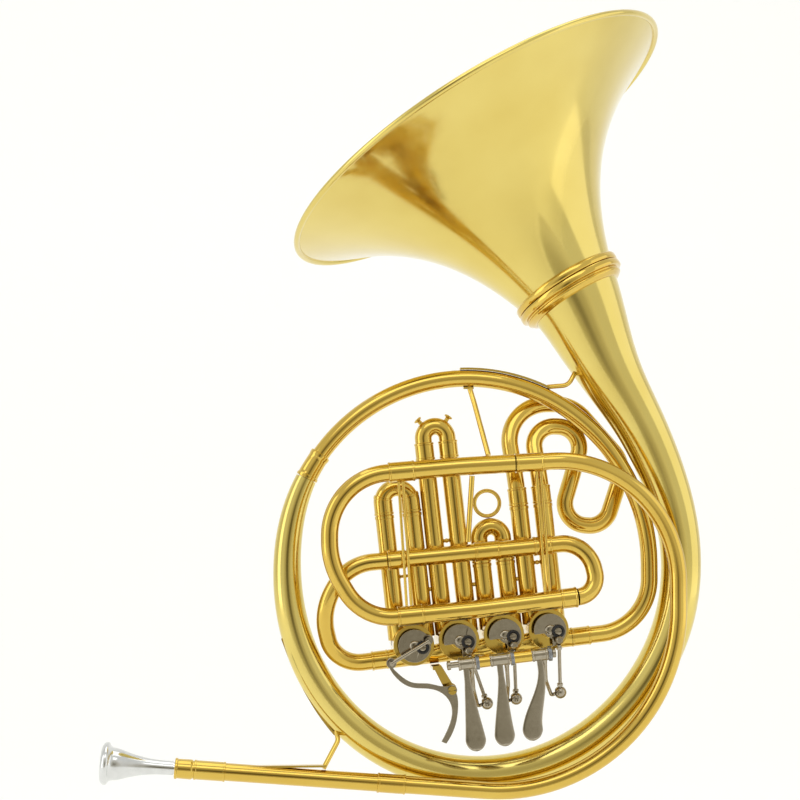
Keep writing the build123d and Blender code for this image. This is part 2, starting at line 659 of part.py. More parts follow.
for number, (barrel, paddle, ball) in enumerate(zip(LEVER_BARRELS, PADDLE_ENDS, BALLS), 1):
    low, high = barrel
    middle = (low + high) / 2
    with BuildPart() as lever:
        with BuildSketch(Plane(origin=at(low, HINGE_B, HINGE_H), x_dir=FRONT, z_dir=ROW)):
            Circle(BARREL_R)
            Circle(HINGE_ROD_R + FIT, mode=Mode.SUBTRACT)
        extrude(amount=high - low)
        # flat arm and spoon-shaped paddle
        with BuildSketch(row_plane(0, 0, HINGE_H - BARREL_R + 0.6)):
            with BuildLine():
                Polyline(
                    (middle - 2.6, HINGE_B - 3.2),
                    (middle + 2.6, HINGE_B - 3.2),
                    (middle + 2.4, HINGE_B - 16.0),
                    (paddle[0] + PADDLE_R - 0.4, paddle[1] + 3.0),
                    (paddle[0] - PADDLE_R + 0.4, paddle[1] + 3.0),
                    (middle - 2.4, HINGE_B - 16.0),
                    close=True,
                )
            make_face()
            with Locations(paddle):
                Circle(PADDLE_R)
        extrude(amount=PADDLE_THICK)
        # curved side arm back to the ball
        arm_root = at(high - 2.0, HINGE_B - 3.2, HINGE_H - 2.6)
        arm_end = at(ball[0] - 2.0, ball[1], BALL_H)
        add(
            tube(
                [
                    arm_root,
                    at(high - 1.0, HINGE_B - 20.0, HINGE_H - 14.0),
                    at(ball[0] - 7.0, ball[1] - 1.0, BALL_H + 2.0),
                    arm_end,
                ],
                [9.0, 3.0],
                1.5,
                0,
            )
        )
        with Locations(Location(at(ball[0], ball[1], BALL_H))):
            Sphere(BALL_R)
    save(lever.part, "finger_lever_" + str(number))

    valve_a = VALVES[number]
    eye = at(valve_a + crank[0], VALVE_B + crank[1], POST_H)
    ball_place = at(ball[0], ball[1], BALL_H)
    with BuildPart() as link:
        with BuildSketch(Plane(origin=ball_place - ROW * 1.6, x_dir=FRONT, z_dir=ROW)):
            Circle(SOCKET_R)
            Circle(BALL_R + 0.15, mode=Mode.SUBTRACT)
        extrude(amount=3.2)
        add(strut(toward(eye, ball_place, 3.8), toward(ball_place, eye, 2.2), 1.3))
        with BuildSketch(Plane(origin=eye - FRONT * 1.4, x_dir=ROW, z_dir=FRONT)):
            Circle(2.8)
        extrude(amount=3.4)
        with BuildSketch(Plane(origin=eye + FRONT * 2.0, x_dir=ROW, z_dir=FRONT)):
            Circle(2.0)
            SlotOverall(5.0, 0.6, mode=Mode.SUBTRACT)
        extrude(amount=1.0)
    save(link.part, "finger_link_" + str(number))

with BuildPart() as hinge_rod:
    with BuildSketch(Plane(origin=at(ROD_ENDS[0], HINGE_B, HINGE_H), x_dir=FRONT, z_dir=ROW)):
        Circle(HINGE_ROD_R)
    extrude(amount=ROD_ENDS[1] - ROD_ENDS[0])
    for end, way in ((ROD_ENDS[0], -1), (ROD_ENDS[1], 1)):
        with BuildSketch(Plane(origin=at(end, HINGE_B, HINGE_H), x_dir=FRONT, z_dir=ROW)):
            Circle(3.2)
        extrude(amount=2.4 * way)
save(hinge_rod.part, "hinge_rod")

FOOT_H = CASING_HALF + PLATE + 0.05
with BuildPart() as hinge_posts:
    for (low, high), (arm_low, arm_high) in zip(POSTS_A, ARMS_A):
        with BuildSketch(Plane(origin=at(low + 0.3, HINGE_B, HINGE_H), x_dir=FRONT, z_dir=ROW)):
            Circle(BARREL_R - 0.4)
            Circle(HINGE_ROD_R + 0.02, mode=Mode.SUBTRACT)
        extrude(amount=high - low - 0.6)
        middle = (arm_low + arm_high) / 2
        with BuildSketch(Plane(origin=at(middle, HINGE_B, HINGE_H - 3.4), x_dir=ROW, z_dir=FRONT * -1)):
            Rectangle(arm_high - arm_low, 4.4)
        extrude(amount=HINGE_H - 3.4 - FOOT_H)
        foot_plane = Plane(origin=at(middle, HINGE_B - 2.0, FOOT_H), x_dir=ROW, z_dir=FRONT)
        with BuildSketch(foot_plane):
            Rectangle(arm_high - arm_low, 9.2)
        extrude(amount=2.2)
save(hinge_posts.part, "hinge_posts")

SPRING_R = 5.4
WIRE_R = 0.4
SPRING_ENDS = (POSTS_A[0][0], POSTS_A[1][0], LEVER_BARRELS[2][1])
with BuildPart() as lever_springs:
    for end in SPRING_ENDS:
        for turn_number in range(3):
            place = end + 0.4 + 1.0 * turn_number
            with BuildSketch(Plane(origin=at(place, HINGE_B, HINGE_H), x_dir=FRONT, z_dir=ROW)):
                Circle(SPRING_R)
                Circle(SPRING_R - 2 * WIRE_R, mode=Mode.SUBTRACT)
            extrude(amount=2 * WIRE_R)
save(lever_springs.part, "lever_springs")

# ---- thumb lever -------------------------------------------------------------------------------
THUMB_PIVOT = (-25.2, -88.8)
THUMB_END = (-65.7, -65.0)
THUMB_H = 26.5
with BuildPart() as thumb_lever:
    with BuildSketch(row_plane(0, 0, THUMB_H)):
        with BuildLine():
            upper = Spline(
                (THUMB_END[0] - 1.6, THUMB_END[1]), (-61.0, -73.4), (-52.0, -80.2), (-41.0, -82.2),
                (-32.0, -85.2), (THUMB_PIVOT[0], THUMB_PIVOT[1] + 3.4),
            )
            hook_right = Spline(
                upper @ 1, (THUMB_PIVOT[0] + 3.0, THUMB_PIVOT[1] - 3.0), (-22.4, -102.0),
                (-25.4, -113.0), (-33.4, -125.4),
            )
            Line(hook_right @ 1, (-36.6, -123.6))
            hook_left = Spline(
                (-36.6, -123.6), (-29.6, -112.4), (-26.8, -101.0), (-29.4, -93.6), (-34.6, -88.6),
                (-42.6, -85.6), (-53.6, -83.4), (-63.4, -75.6),
                (THUMB_END[0] - 2.0, THUMB_END[1] - 2.6),
            )
            Line(hook_left @ 1, upper @ 0)
        make_face()
        with Locations(THUMB_END, THUMB_PIVOT):
            Circle(3.6)
        with Locations(THUMB_PIVOT):
            Circle(1.55, mode=Mode.SUBTRACT)
    extrude(amount=2.2)
save(thumb_lever.part, "thumb_lever")

with BuildPart() as thumb_bracket:
    with BuildSketch(row_plane(0, 0, CASING_HALF + PLATE + 1.0)):
        with BuildLine():
            Polyline(
                (-36.0, -71.6), (-30.0, -71.6), (THUMB_PIVOT[0] + 3.4, THUMB_PIVOT[1]),
                (THUMB_PIVOT[0] - 3.4, THUMB_PIVOT[1] - 2.0), close=True,
            )
        make_face()
        with Locations(THUMB_PIVOT):
            Circle(4.2)
    extrude(amount=2.0)
    with BuildSketch(row_plane(*THUMB_PIVOT, CASING_HALF + PLATE + 3.0)):
        Circle(3.4)
    extrude(amount=THUMB_H - 0.3 - CASING_HALF - PLATE - 3.0)
    with BuildSketch(row_plane(*THUMB_PIVOT, THUMB_H - 0.3)):
        Circle(1.5)
    extrude(amount=3.0)
    with BuildSketch(row_plane(*THUMB_PIVOT, THUMB_H + 2.6)):
        Circle(3.0)
        SlotOverall(7.0, 0.8, mode=Mode.SUBTRACT)
    extrude(amount=1.4)
    with BuildSketch(row_plane(-33.0, -73.1, 0.0)):
        Rectangle(6.4, 2.4)
    extrude(amount=CASING_HALF + PLATE + 3.0)
save(thumb_bracket.part, "thumb_bracket")

thumb_eye = at(VALVES[0] + THUMB_POST[0], VALVE_B + THUMB_POST[1], 0)
thumb_end = at(*THUMB_END, 0)
with BuildPart() as thumb_link:
    for place, low, high in ((thumb_eye, 26.2, 31.4), (thumb_end, THUMB_H + 2.5, 31.4)):
        with BuildSketch(Plane(origin=place + FRONT * low, x_dir=ROW, z_dir=FRONT)):
            Circle(2.6)
        extrude(amount=high - low)
    add(strut(thumb_eye + FRONT * 30.4, thumb_end + FRONT * 30.4, 1.3))
save(thumb_link.part, "thumb_link")

# ---- braces ------------------------------------------------------------------------------------
STRIP = 1.5
tail_core = tail_body(0.0)
lead_core = tube([LEAD_START, LEAD_LOW, LEAD_HIGH, LEAD_END], LEAD_BENDS, TUBE_R, 0)
top_core = tube([LEAD_END, TOP_KNEE, TOP_LEFT], [SHALLOW_BEND], RUN_R, 0)
low_core = tube([LOW_RIGHT, LOW_KNEE, LOW_LEFT], [SHALLOW_BEND], RUN_R, 0)
middle_core = tube([MIDDLE_RIGHT, MIDDLE_LEFT], [], TUBE_R, 0)


def hoop_strip(start_angle, sweep_angle, radius, width):
    """A thin curved strip that lies on the outer side of the hoop."""
    with BuildPart() as strip:
        with BuildLine(Plane.XZ) as bend:
            CenterArc((0, 0), radius, start_angle, sweep_angle)
        with BuildSketch(Plane(origin=bend.line @ 0, x_dir=(0, 1, 0), z_dir=bend.line % 0)):
            Rectangle(width, STRIP)
        sweep()
    return strip.part


strip_r = HOOP_R + TUBE_R + STRIP / 2 + 0.1
rod_foot = (strip_r * math.cos(math.radians(65)), 0.0, strip_r * math.sin(math.radians(65)))
with BuildPart() as bell_brace:
    add(hoop_strip(92.5, -28.5, strip_r, 6.0))
    add(tube([rod_foot, (74.0, 0.5, 126.5), (80.5, 2.5, 138.0)], [8.0], 1.7, 0))
    add(tube([(80.5, 2.5, 138.0), (68.0, 5.5, 154.0)], [], 1.7, 0))
    add(tail_core, mode=Mode.SUBTRACT)
    add(hoop_tube.part, mode=Mode.SUBTRACT)
save(bell_brace.part, "bell_brace")

brace_top = (1.0, 0.0, HOOP_R - TUBE_R - 0.1)
brace_low = (11.4, RUN_Y + 4.0, 74.8)
with BuildPart() as hoop_brace:
    add(tube([brace_top, (4.0, -6.0, 112.0), brace_low], [14.0], 1.9, 0))
    add(hoop_strip(91.6, -3.4, HOOP_R - TUBE_R - STRIP / 2 - 0.1, 5.0))
    add(top_core, mode=Mode.SUBTRACT)
    add(hoop_tube.part, mode=Mode.SUBTRACT)
save(hoop_brace.part, "hoop_brace")

with BuildPart() as run_brace:
    add(strut((-0.6, RUN_Y + 1.0, 60.0), (-2.9, MIDDLE_Y - 1.0, 13.0), 1.9))
    add(top_core, mode=Mode.SUBTRACT)
    add(middle_core, mode=Mode.SUBTRACT)
save(run_brace.part, "run_brace")

# two pairs of thin rods in front of the middle run, from the top run to the lower run
ROD_PAIRS = (((-52.0, 62.6), (-45.4, -38.6)), ((46.6, 69.0), (53.4, -28.6)))
ROD_R = 1.0
ROD_Y = RUN_Y - 0.8
with BuildPart() as front_rods:
    for top, low in ROD_PAIRS:
        for shift in (-1.6, 1.6):
            add(strut((top[0] + shift, ROD_Y, top[1]), (low[0] + shift, ROD_Y, low[1]), ROD_R))
    add(top_core, mode=Mode.SUBTRACT)
    add(low_core, mode=Mode.SUBTRACT)
    add(lead_core, mode=Mode.SUBTRACT)
    add(tube_ferrules.part, mode=Mode.SUBTRACT)
save(front_rods.part, "front_rods")

lead_flange = LEAD_START - lead_axis * 67.0
brace_knee = (-94.5, -8.0, -128.0)
with BuildPart() as lead_pipe_brace:
    flange_place = lead_flange + Vector(0, 0, TUBE_R + 0.1)
    with BuildSketch(Plane(origin=flange_place, x_dir=lead_axis, z_dir=(0, 0, 1))):
        Rectangle(54.0, 5.0)
    extrude(amount=STRIP)
    brace_foot = lead_flange + Vector(25.0, 0.5, TUBE_R - 1.0)
    add(tube([brace_foot, brace_knee, (-96.0, -2.0, -119.0)], [8.0], 1.8, 0))
    with BuildLine(Plane.XZ.offset(0)) as flange_line:
        Spline((-96.5, -124.6), (-112.0, -103.6), (-124.6, -80.0), (-134.4, -56.0))
    with BuildSketch(Plane(origin=flange_line.line @ 0, x_dir=(0, 1, 0), z_dir=flange_line.line % 0)):
        Rectangle(6.0, 1.6)
    sweep(path=flange_line.line)
    add(tail_core, mode=Mode.SUBTRACT)
    add(lead_core, mode=Mode.SUBTRACT)
save(lead_pipe_brace.part, "lead_pipe_brace")

# small turned braces between neighbouring valve legs, each with a ball in the middle
BRACE_ROWS = (
    (LEG_PLACES["b"], 15.0), (LEG_PLACES["d"], -8.0), (LEG_PLACES["a"], -7.0),
    ((LEG_PLACES["a"][1], LEG_PLACES["b"][0]), -18.4),
    ((LEG_PLACES["b"][1], LEG_PLACES["c"][0]), -18.6),
    ((LEG_PLACES["c"][1], LEG_PLACES["d"][0]), -18.3),
)
with BuildPart() as leg_braces:
    for (left, right), height in BRACE_ROWS:
        middle = (left + right) / 2
        add(strut(at(left + SLEEVE_R - 0.5, height), at(right - SLEEVE_R + 0.5, height), 1.1))
        if right - left > 2 * SLEEVE_R + 3.0:
            with Locations(Location(at(middle, height))):
                Sphere(1.7)
    for name in VALVE_NAMES:
        for leg in LEG_PLACES[name]:
            with BuildSketch(leg_plane(leg, LEG_START)):
                Circle(SLEEVE_R)
            extrude(amount=LEG_TOPS[name] - LEG_START, mode=Mode.SUBTRACT)
save(leg_braces.part, "leg_braces")
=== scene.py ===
# %% [markdown]
# A French horn is one long tube of thin brass, coiled so that it can be carried, with a valve
# section in the middle. The CAD model fixes where every piece is. This file gives the pieces
# their finished surfaces, and a studio to see them in. Everything is placed by the frame.

# %% Load the frame
import bpy, bmesh, json, math
import numpy as np
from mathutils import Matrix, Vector


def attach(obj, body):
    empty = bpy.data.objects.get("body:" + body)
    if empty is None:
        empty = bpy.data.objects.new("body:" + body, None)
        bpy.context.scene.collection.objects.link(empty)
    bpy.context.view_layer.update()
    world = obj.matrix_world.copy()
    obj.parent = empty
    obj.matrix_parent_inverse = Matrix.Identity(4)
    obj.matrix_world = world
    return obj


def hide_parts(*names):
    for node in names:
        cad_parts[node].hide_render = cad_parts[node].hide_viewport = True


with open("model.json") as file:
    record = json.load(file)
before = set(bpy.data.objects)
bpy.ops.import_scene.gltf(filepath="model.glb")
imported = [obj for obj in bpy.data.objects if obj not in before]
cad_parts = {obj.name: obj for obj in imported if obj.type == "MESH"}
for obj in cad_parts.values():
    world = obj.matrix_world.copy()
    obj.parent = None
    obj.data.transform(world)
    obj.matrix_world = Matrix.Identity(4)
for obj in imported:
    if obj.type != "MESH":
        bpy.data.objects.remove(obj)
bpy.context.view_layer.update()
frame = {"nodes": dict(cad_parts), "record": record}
body_of = {n: body for body, nodes in frame["record"]["behaviour"]["bodies"].items() for n in nodes}
slot_of = {s["node"]: s["material_slot"] for s in frame["record"]["subparts"]}

# %% [markdown]
# Colours are written as the sRGB values that a painter would pick, and Blender works in linear
# light, so one function turns one into the other. One more function adds a node, sets its
# values and links it, so that each finish below reads as a list of what it is made of.

# %% Colour and node helpers
def colour(hex_value):
    """sRGB to linear light: c/12.92 near black, ((c+0.055)/1.055)^2.4 above."""
    c = np.array([int(hex_value[i:i + 2], 16) for i in (1, 3, 5)]) / 255
    return (*np.where(c <= 0.04045, c / 12.92, ((c + 0.055) / 1.055) ** 2.4).tolist(), 1.0)


def add_node(tree, kind, values=None, links=None, **settings):
    """A node with its settings, its unlinked values, and its links {input: (node, output)}."""
    made = tree.nodes.new(kind)
    for key, value in settings.items():
        setattr(made, key, value)
    for key, value in (values or {}).items():
        made.inputs[key].default_value = value
    for key, (other, output) in (links or {}).items():
        tree.links.new(other.outputs[output], made.inputs[key])
    return made


def new_material(name):
    """An empty material with its object coordinates ready."""
    material = bpy.data.materials.new(name)
    material.use_nodes = True
    tree = material.node_tree
    tree.nodes.clear()
    return material, tree, tree.nodes.new("ShaderNodeTexCoord")


def two_tints(tree, factor, first, second):
    """A colour that goes from the first tint to the second with a noise node's factor."""
    tint = tree.nodes.new("ShaderNodeMix")
    tint.data_type = "RGBA"
    tint.inputs[6].default_value, tint.inputs[7].default_value = colour(first), colour(second)
    tree.links.new(factor.outputs["Fac"], tint.inputs[0])
    return tint


print("brass linear", [round(v, 3) for v in colour("#E9C76A")[:3]])

# %% [markdown]
# Polished brass under clear lacquer. Sheet brass is spun or drawn, buffed on a wheel and
# dipped, so the eye sees a deep yellow mirror with a soft haze: the buffing leaves waves of
# some 9 mm, and the lacquer pools in slow clouds of tint. The metal's own colour tints every
# reflection, and where tube faces tube it goes to orange. Drawn or spun lines follow the
# surface, so they read the piece's UV map, whose second value is the length along it in metres.

# %% Lacquered brass
MM = 0.001


def lacquered_brass(name, pale, deep, rough, spun):
    """Metal with clouds 45 mm wide between two tints, buffing waves and fine turned lines."""
    material, tree, coords = new_material(name)
    clouds = add_node(tree, "ShaderNodeTexNoise", {"Scale": 1 / (45 * MM), "Detail": 2.0},
                      {"Vector": (coords, "Object")})
    tint = two_tints(tree, clouds, pale, deep)
    haze = add_node(tree, "ShaderNodeTexNoise", {"Scale": 1 / (14 * MM), "Detail": 5.0},
                    {"Vector": (coords, "Object")})
    dull = add_node(tree, "ShaderNodeMapRange",
                    {"From Min": 0.3, "From Max": 0.7, "To Min": rough, "To Max": rough + 0.06},
                    {"Value": (haze, "Fac")})
    waves = add_node(tree, "ShaderNodeTexNoise", {"Scale": 1 / (9 * MM), "Detail": 1.0},
                     {"Vector": (coords, "Object")})
    buffed = add_node(tree, "ShaderNodeBump", {"Strength": 0.5, "Distance": 0.012 * MM},
                      {"Height": (waves, "Fac")})
    length = add_node(tree, "ShaderNodeSeparateXYZ", links={"Vector": (coords, "UV")})
    # real turning lines are 0.1 mm apart, and are drawn 0.9 mm apart here so that they show
    along = add_node(tree, "ShaderNodeCombineXYZ", links={"Y": (length, "Y")})
    lines = add_node(tree, "ShaderNodeTexNoise", {"Scale": 1 / (0.9 * MM), "Detail": 1.0},
                     {"Vector": (along, "Vector")})
    turned = add_node(tree, "ShaderNodeBump", {"Strength": spun, "Distance": 0.002 * MM},
                      {"Height": (lines, "Fac"), "Normal": (buffed, "Normal")})
    metal = add_node(tree, "ShaderNodeBsdfPrincipled",
                     {"Metallic": 1.0, "Coat Weight": 0.35, "Coat Roughness": 0.04},
                     {"Base Color": (tint, 2), "Roughness": (dull, "Result"),
                      "Normal": (turned, "Normal")})
    add_node(tree, "ShaderNodeOutputMaterial", links={"Surface": (metal, "BSDF")})
    return material


bell_brass = lacquered_brass("spun_brass_lacquered", "#E6D27A", "#D8BF62", 0.10, 0.4)
tube_brass = lacquered_brass("drawn_brass_lacquered", "#E2C35E", "#D2AC46", 0.08, 0.2)
bare_brass = lacquered_brass("lapped_brass", "#D8BC74", "#C9A95C", 0.22, 0.6)
print("brass finishes", bell_brass.name, tube_brass.name, bare_brass.name)

# %% [markdown]
# The levers and links are nickel-plated and polished, the mouthpiece is silver-plated, the
# springs are drawn steel wire, and the stops are black rubber. Nickel is a warm grey mirror,
# silver the whitest of metals, and both take fine wiping scratches of about 0.5 mm.

# %% Plated metals, wire and rubber
def plated(name, bright, dull, rough, grain):
    """Metal with fine wiping marks, grain metres apart, in its colour and its roughness."""
    material, tree, coords = new_material(name)
    marks = add_node(tree, "ShaderNodeTexNoise", {"Scale": 1 / grain, "Detail": 6.0},
                     {"Vector": (coords, "Object")})
    tint = two_tints(tree, marks, bright, dull)
    wear = add_node(tree, "ShaderNodeMapRange",
                    {"From Min": 0.3, "From Max": 0.7, "To Min": rough, "To Max": rough + 0.08},
                    {"Value": (marks, "Fac")})
    bump = add_node(tree, "ShaderNodeBump", {"Strength": 0.25, "Distance": 0.004 * MM},
                    {"Height": (marks, "Fac")})
    metal = add_node(tree, "ShaderNodeBsdfPrincipled", {"Metallic": 1.0},
                     {"Base Color": (tint, 2), "Roughness": (wear, "Result"),
                      "Normal": (bump, "Normal")})
    add_node(tree, "ShaderNodeOutputMaterial", links={"Surface": (metal, "BSDF")})
    return material


def black_rubber():
    """Moulded rubber: nearly black, with a fine 0.4 mm grain and no mirror."""
    material, tree, coords = new_material("moulded_rubber_black")
    grain = add_node(tree, "ShaderNodeTexNoise", {"Scale": 1 / (0.4 * MM), "Detail": 3.0},
                     {"Vector": (coords, "Object")})
    bump = add_node(tree, "ShaderNodeBump", {"Strength": 0.4, "Distance": 0.02 * MM},
                    {"Height": (grain, "Fac")})
    rubber = add_node(tree, "ShaderNodeBsdfPrincipled",
                      {"Base Color": colour("#191817"), "Roughness": 0.55, "IOR": 1.52},
                      {"Normal": (bump, "Normal")})
    add_node(tree, "ShaderNodeOutputMaterial", links={"Surface": (rubber, "BSDF")})
    return material


nickel = plated("polished_nickel_plate", "#B5AC9A", "#968C78", 0.08, 3 * MM)
silver = plated("polished_silver_plate", "#E6E7E6", "#D2D3D2", 0.10, 5 * MM)
spring_steel = plated("drawn_spring_steel", "#A9ABAD", "#8B8D90", 0.25, 1 * MM)
rubber = black_rubber()
FINISH = {"lacquered_brass": tube_brass, "nickel_plate": nickel, "silver_plate": silver,
          "bare_brass": bare_brass, "spring_steel": spring_steel}
print("finishes", sorted(FINISH))

# %% [markdown]
# Nearly every piece of a horn is round: a section carried along a bent line. So one function
# does most of the work. It takes a line, and stations that say how wide the section is at each
# distance along it. Stations that turn back make a bore, and a closed ring of stations makes a
# wall. Bends are true arcs, as a tube bender leaves them, and the bell's tail, which is bent by
# hand, follows a smooth curve with no jump in its curvature.

# %% Lines: runs with bends, and smooth curves
def unit(v):
    """v divided by its length."""
    v = np.asarray(v, float)
    return v / np.linalg.norm(v, axis=-1, keepdims=True)


def run(corners, bends=(), step=4.0):
    """Straight runs joined by arcs. An arc of radius r and turn q starts r tan(q/2) before its
    corner, and its point at angle t is centre - side r cos t + ahead r sin t."""
    c = [np.asarray(p, float) for p in corners]
    points, ways = [c[0]], [unit(c[1] - c[0])]
    for a, b, d, r in zip(c, c[1:], c[2:], bends):
        u, v = unit(b - a), unit(d - b)
        q = math.acos(min(1.0, float(u @ v)))
        side = unit(v - u * (u @ v))
        t = np.linspace(0, q, max(3, int(math.degrees(q) / step) + 2))[:, None]
        points.append(b - u * r * math.tan(q / 2) + side * r * (1 - np.cos(t)) + u * r * np.sin(t))
        ways.append(u * np.cos(t) + side * np.sin(t))
    points.append(c[-1])
    ways.append(unit(c[-1] - c[-2]))
    return np.vstack(points), np.vstack(ways)


def smooth(knots, start=None, end=None, count=60):
    """A curve through the knots, cubic between them: its slopes m solve the tridiagonal system
    of equal second derivatives, and a point is the Hermite blend of its two knots and slopes."""
    k = np.asarray(knots, float)
    t = np.r_[0, np.cumsum(np.linalg.norm(np.diff(k[:, :3], axis=0), axis=1))]
    h, n = np.diff(t), len(t)
    a, b, i = np.zeros((n, n)), np.zeros_like(k), np.arange(1, n - 1)
    a[i, i - 1], a[i, i], a[i, i + 1] = h[1:], 2 * (h[1:] + h[:-1]), h[:-1]
    step = np.diff(k, axis=0) / h[:, None]
    b[i] = 3 * (h[1:, None] * step[:-1] + h[:-1, None] * step[1:])
    a[0, :2], b[0] = ((2, 1), 3 * step[0]) if start is None else ((1, 0), start)
    a[-1, -2:], b[-1] = ((1, 2), 3 * step[-1]) if end is None else ((0, 1), end)
    m = np.linalg.solve(a, b)
    x = np.linspace(0, t[-1], count)
    j = np.clip(np.searchsorted(t, x, side="right") - 1, 0, n - 2)
    w, u = h[j][:, None], ((x - t[j]) / h[j])[:, None]
    return ((1 + 2 * u) * (1 - u) ** 2 * k[j] + u * (1 - u) ** 2 * w * m[j]
            + u ** 2 * (3 - 2 * u) * k[j + 1] - u ** 2 * (1 - u) * w * m[j + 1])


def ways_of(points):
    """The direction of travel at each point, from its two neighbours."""
    return unit(np.gradient(points, axis=0))


def reach(line):
    """The length of a line."""
    return float(np.linalg.norm(np.diff(line[0], axis=0), axis=1).sum())


print("test bend", round(reach(run([(0, 0, 0), (50, 0, 0), (50, 0, 50)], [20])), 2), "mm")

# %% Carrying a section along a line
def carry(line, stations, around=40, ring=False, facing=(0, 1, 0), origin=0.0, power=1.0):
    """Rows of points: centre(s) + w cos(t) side + h sin(t) up, for t once round, where s, w and
    h come from the stations, and side and up are square to the way ahead at s. Between two
    stations, the line's own points add rows. ring joins the last row to the first. A power
    under 1, put on cos and sin, squares the section up."""
    points, ways = line
    s = np.r_[0, np.cumsum(np.linalg.norm(np.diff(points, axis=0), axis=1))] - origin
    st = np.asarray(stations, float)
    st = np.c_[st, st[:, 1]] if st.shape[1] == 2 else st
    rows = []
    for a, b in zip(st, st[1:]):
        low, high = min(a[0], b[0]), max(a[0], b[0])
        mid = s[(s > low + 0.02) & (s < high - 0.02)][::1 if b[0] > a[0] else -1]
        part = (mid - a[0]) / (b[0] - a[0]) if len(mid) else mid
        rows += [a[None], np.c_[mid, a[1:] + part[:, None] * (b[1:] - a[1:])]]
    rows = np.vstack(rows + [st[-1:]])
    at_s = lambda field: np.stack([np.interp(rows[:, 0], s, field[:, i]) for i in range(3)], 1)
    centre, ahead = at_s(points), unit(at_s(ways))
    side = unit(np.cross(ahead, facing))
    up = np.cross(ahead, side)
    t = np.linspace(0, 2 * np.pi, around, endpoint=False)
    across, high = np.cos(t), np.sin(t)
    if power != 1:
        across = np.sign(across) * np.abs(across) ** power
        high = np.sign(high) * np.abs(high) ** power
    grid = (centre[:, None] + (rows[:, 1, None] * across)[..., None] * side[:, None]
            + (rows[:, 2, None] * high)[..., None] * up[:, None])
    n = len(rows)
    i, j = np.meshgrid(np.arange(n if ring else n - 1), np.arange(around), indexing="ij")
    i2, j2 = (i + 1) % n, (j + 1) % around
    quads = np.stack([i * around + j, i * around + j2, i2 * around + j2, i2 * around + j], -1)
    v = np.r_[0, np.cumsum(np.hypot(np.diff(rows[:, 0]), np.diff(rows[:, 1])))]
    v = np.r_[v, v[-1] + 1] * MM
    uv = np.stack([np.stack([j, j + 1, j + 1, j], -1) / around,
                   np.stack([v[i], v[i], v[i + 1], v[i + 1]], -1)], -1)
    caps = [] if ring else [list(range(around))[::-1], list(range((n - 1) * around, n * around))]
    return grid.reshape(-1, 3), quads.reshape(-1, 4), uv.reshape(-1, 2), caps


def piece(name, parts, finish, body, stands_for=(), sharp=35):
    """One object from several closed surfaces in millimetres, smooth but for edges over sharp."""
    verts, faces, uvs, start = [], [], [], 0
    for points, quads, uv, caps in parts:
        verts.append(points)
        faces += (quads + start).tolist() + [[k + start for k in cap] for cap in caps]
        uvs += [uv, np.zeros((sum(map(len, caps)), 2))]
        start += len(points)
    mesh = bpy.data.meshes.new(name)
    mesh.from_pydata((np.vstack(verts) * MM).tolist(), [], faces)
    mesh.uv_layers.new(name="surface").data.foreach_set("uv", np.vstack(uvs).ravel())
    mesh.shade_smooth()
    mesh.set_sharp_from_angle(angle=math.radians(sharp))
    mesh.materials.append(finish)
    made = bpy.data.objects.new(name, mesh)
    bpy.context.scene.collection.objects.link(made)
    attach(made, body)
    if stands_for:
        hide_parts(*stands_for)
    print(f"{name}: {len(mesh.polygons)} faces, {[round(d * 1000) for d in made.dimensions]} mm")
    return made


def hollow(length, outer, bore, deep=14.0):
    """Stations of a tube with an open bore at each end, deep millimetres in."""
    return [(deep, bore), (0, bore), (0, outer), (length, outer), (length, bore),
            (length - deep, bore)]


print("an open tube has", len(hollow(100, 6, 5)), "stations")

# %% [markdown]
# The bell is sheet brass spun over a mandrel into a Bessel horn: its radius falls as a power of
# the distance from the rim. The edge is rolled over a wire, which leaves the round bead and the
# dark groove behind it. It screws off at a ring, so it is a piece of its own.

# %% Bell: flare, bead and screw rings
RIM_R, FLARE_LENGTH, FLARE_POWER, FLARE_END = 159.0, 150.0, 2.31, 131.0
SHEET, BEAD_R, RING_R, FACETS = 0.6, 2.3, 42.3, 128
rim_centre = np.array([11.9, 36.0, 310.0])
turn, tilt = math.radians(120.3), math.radians(10.2)
bell_axis = np.array([math.cos(turn) * math.cos(tilt), math.sin(tilt),
                      math.sin(turn) * math.cos(tilt)])
AHEAD = 10.0            # the line starts this far in front of the rim
bell_line = run([rim_centre + bell_axis * AHEAD, rim_centre - bell_axis * 150])


def flare(s):
    """Radius = 159 (150/(150+s))^2.31, eased near the rim to meet the bead."""
    s = np.asarray(s, float)
    return (RIM_R * (FLARE_LENGTH / (FLARE_LENGTH + np.maximum(s, 0))) ** FLARE_POWER
            - BEAD_R * np.clip(1 - s / 10, 0, 1) ** 2)


down = np.r_[np.linspace(0.75, 12, 14), np.linspace(14, FLARE_END, 78)]
outside = np.stack([down, flare(down)], 1)
inside = np.stack([np.where(down < 30, down - 0.9 * SHEET, down), flare(down) - SHEET], 1)[::-1]
inside = inside[inside[:, 0] > 0.2]
roll = np.radians(np.linspace(252, -66, 30))
bead = np.stack([BEAD_R * np.cos(roll), RIM_R - BEAD_R + BEAD_R * np.sin(roll)], 1)
flare_wall = np.vstack([outside[2:], inside[:-2], bead])
piece("bell_flare_spun", [carry(bell_line, flare_wall, 168, True, origin=AHEAD)], bell_brass,
      "bell", ["bell_flare"])

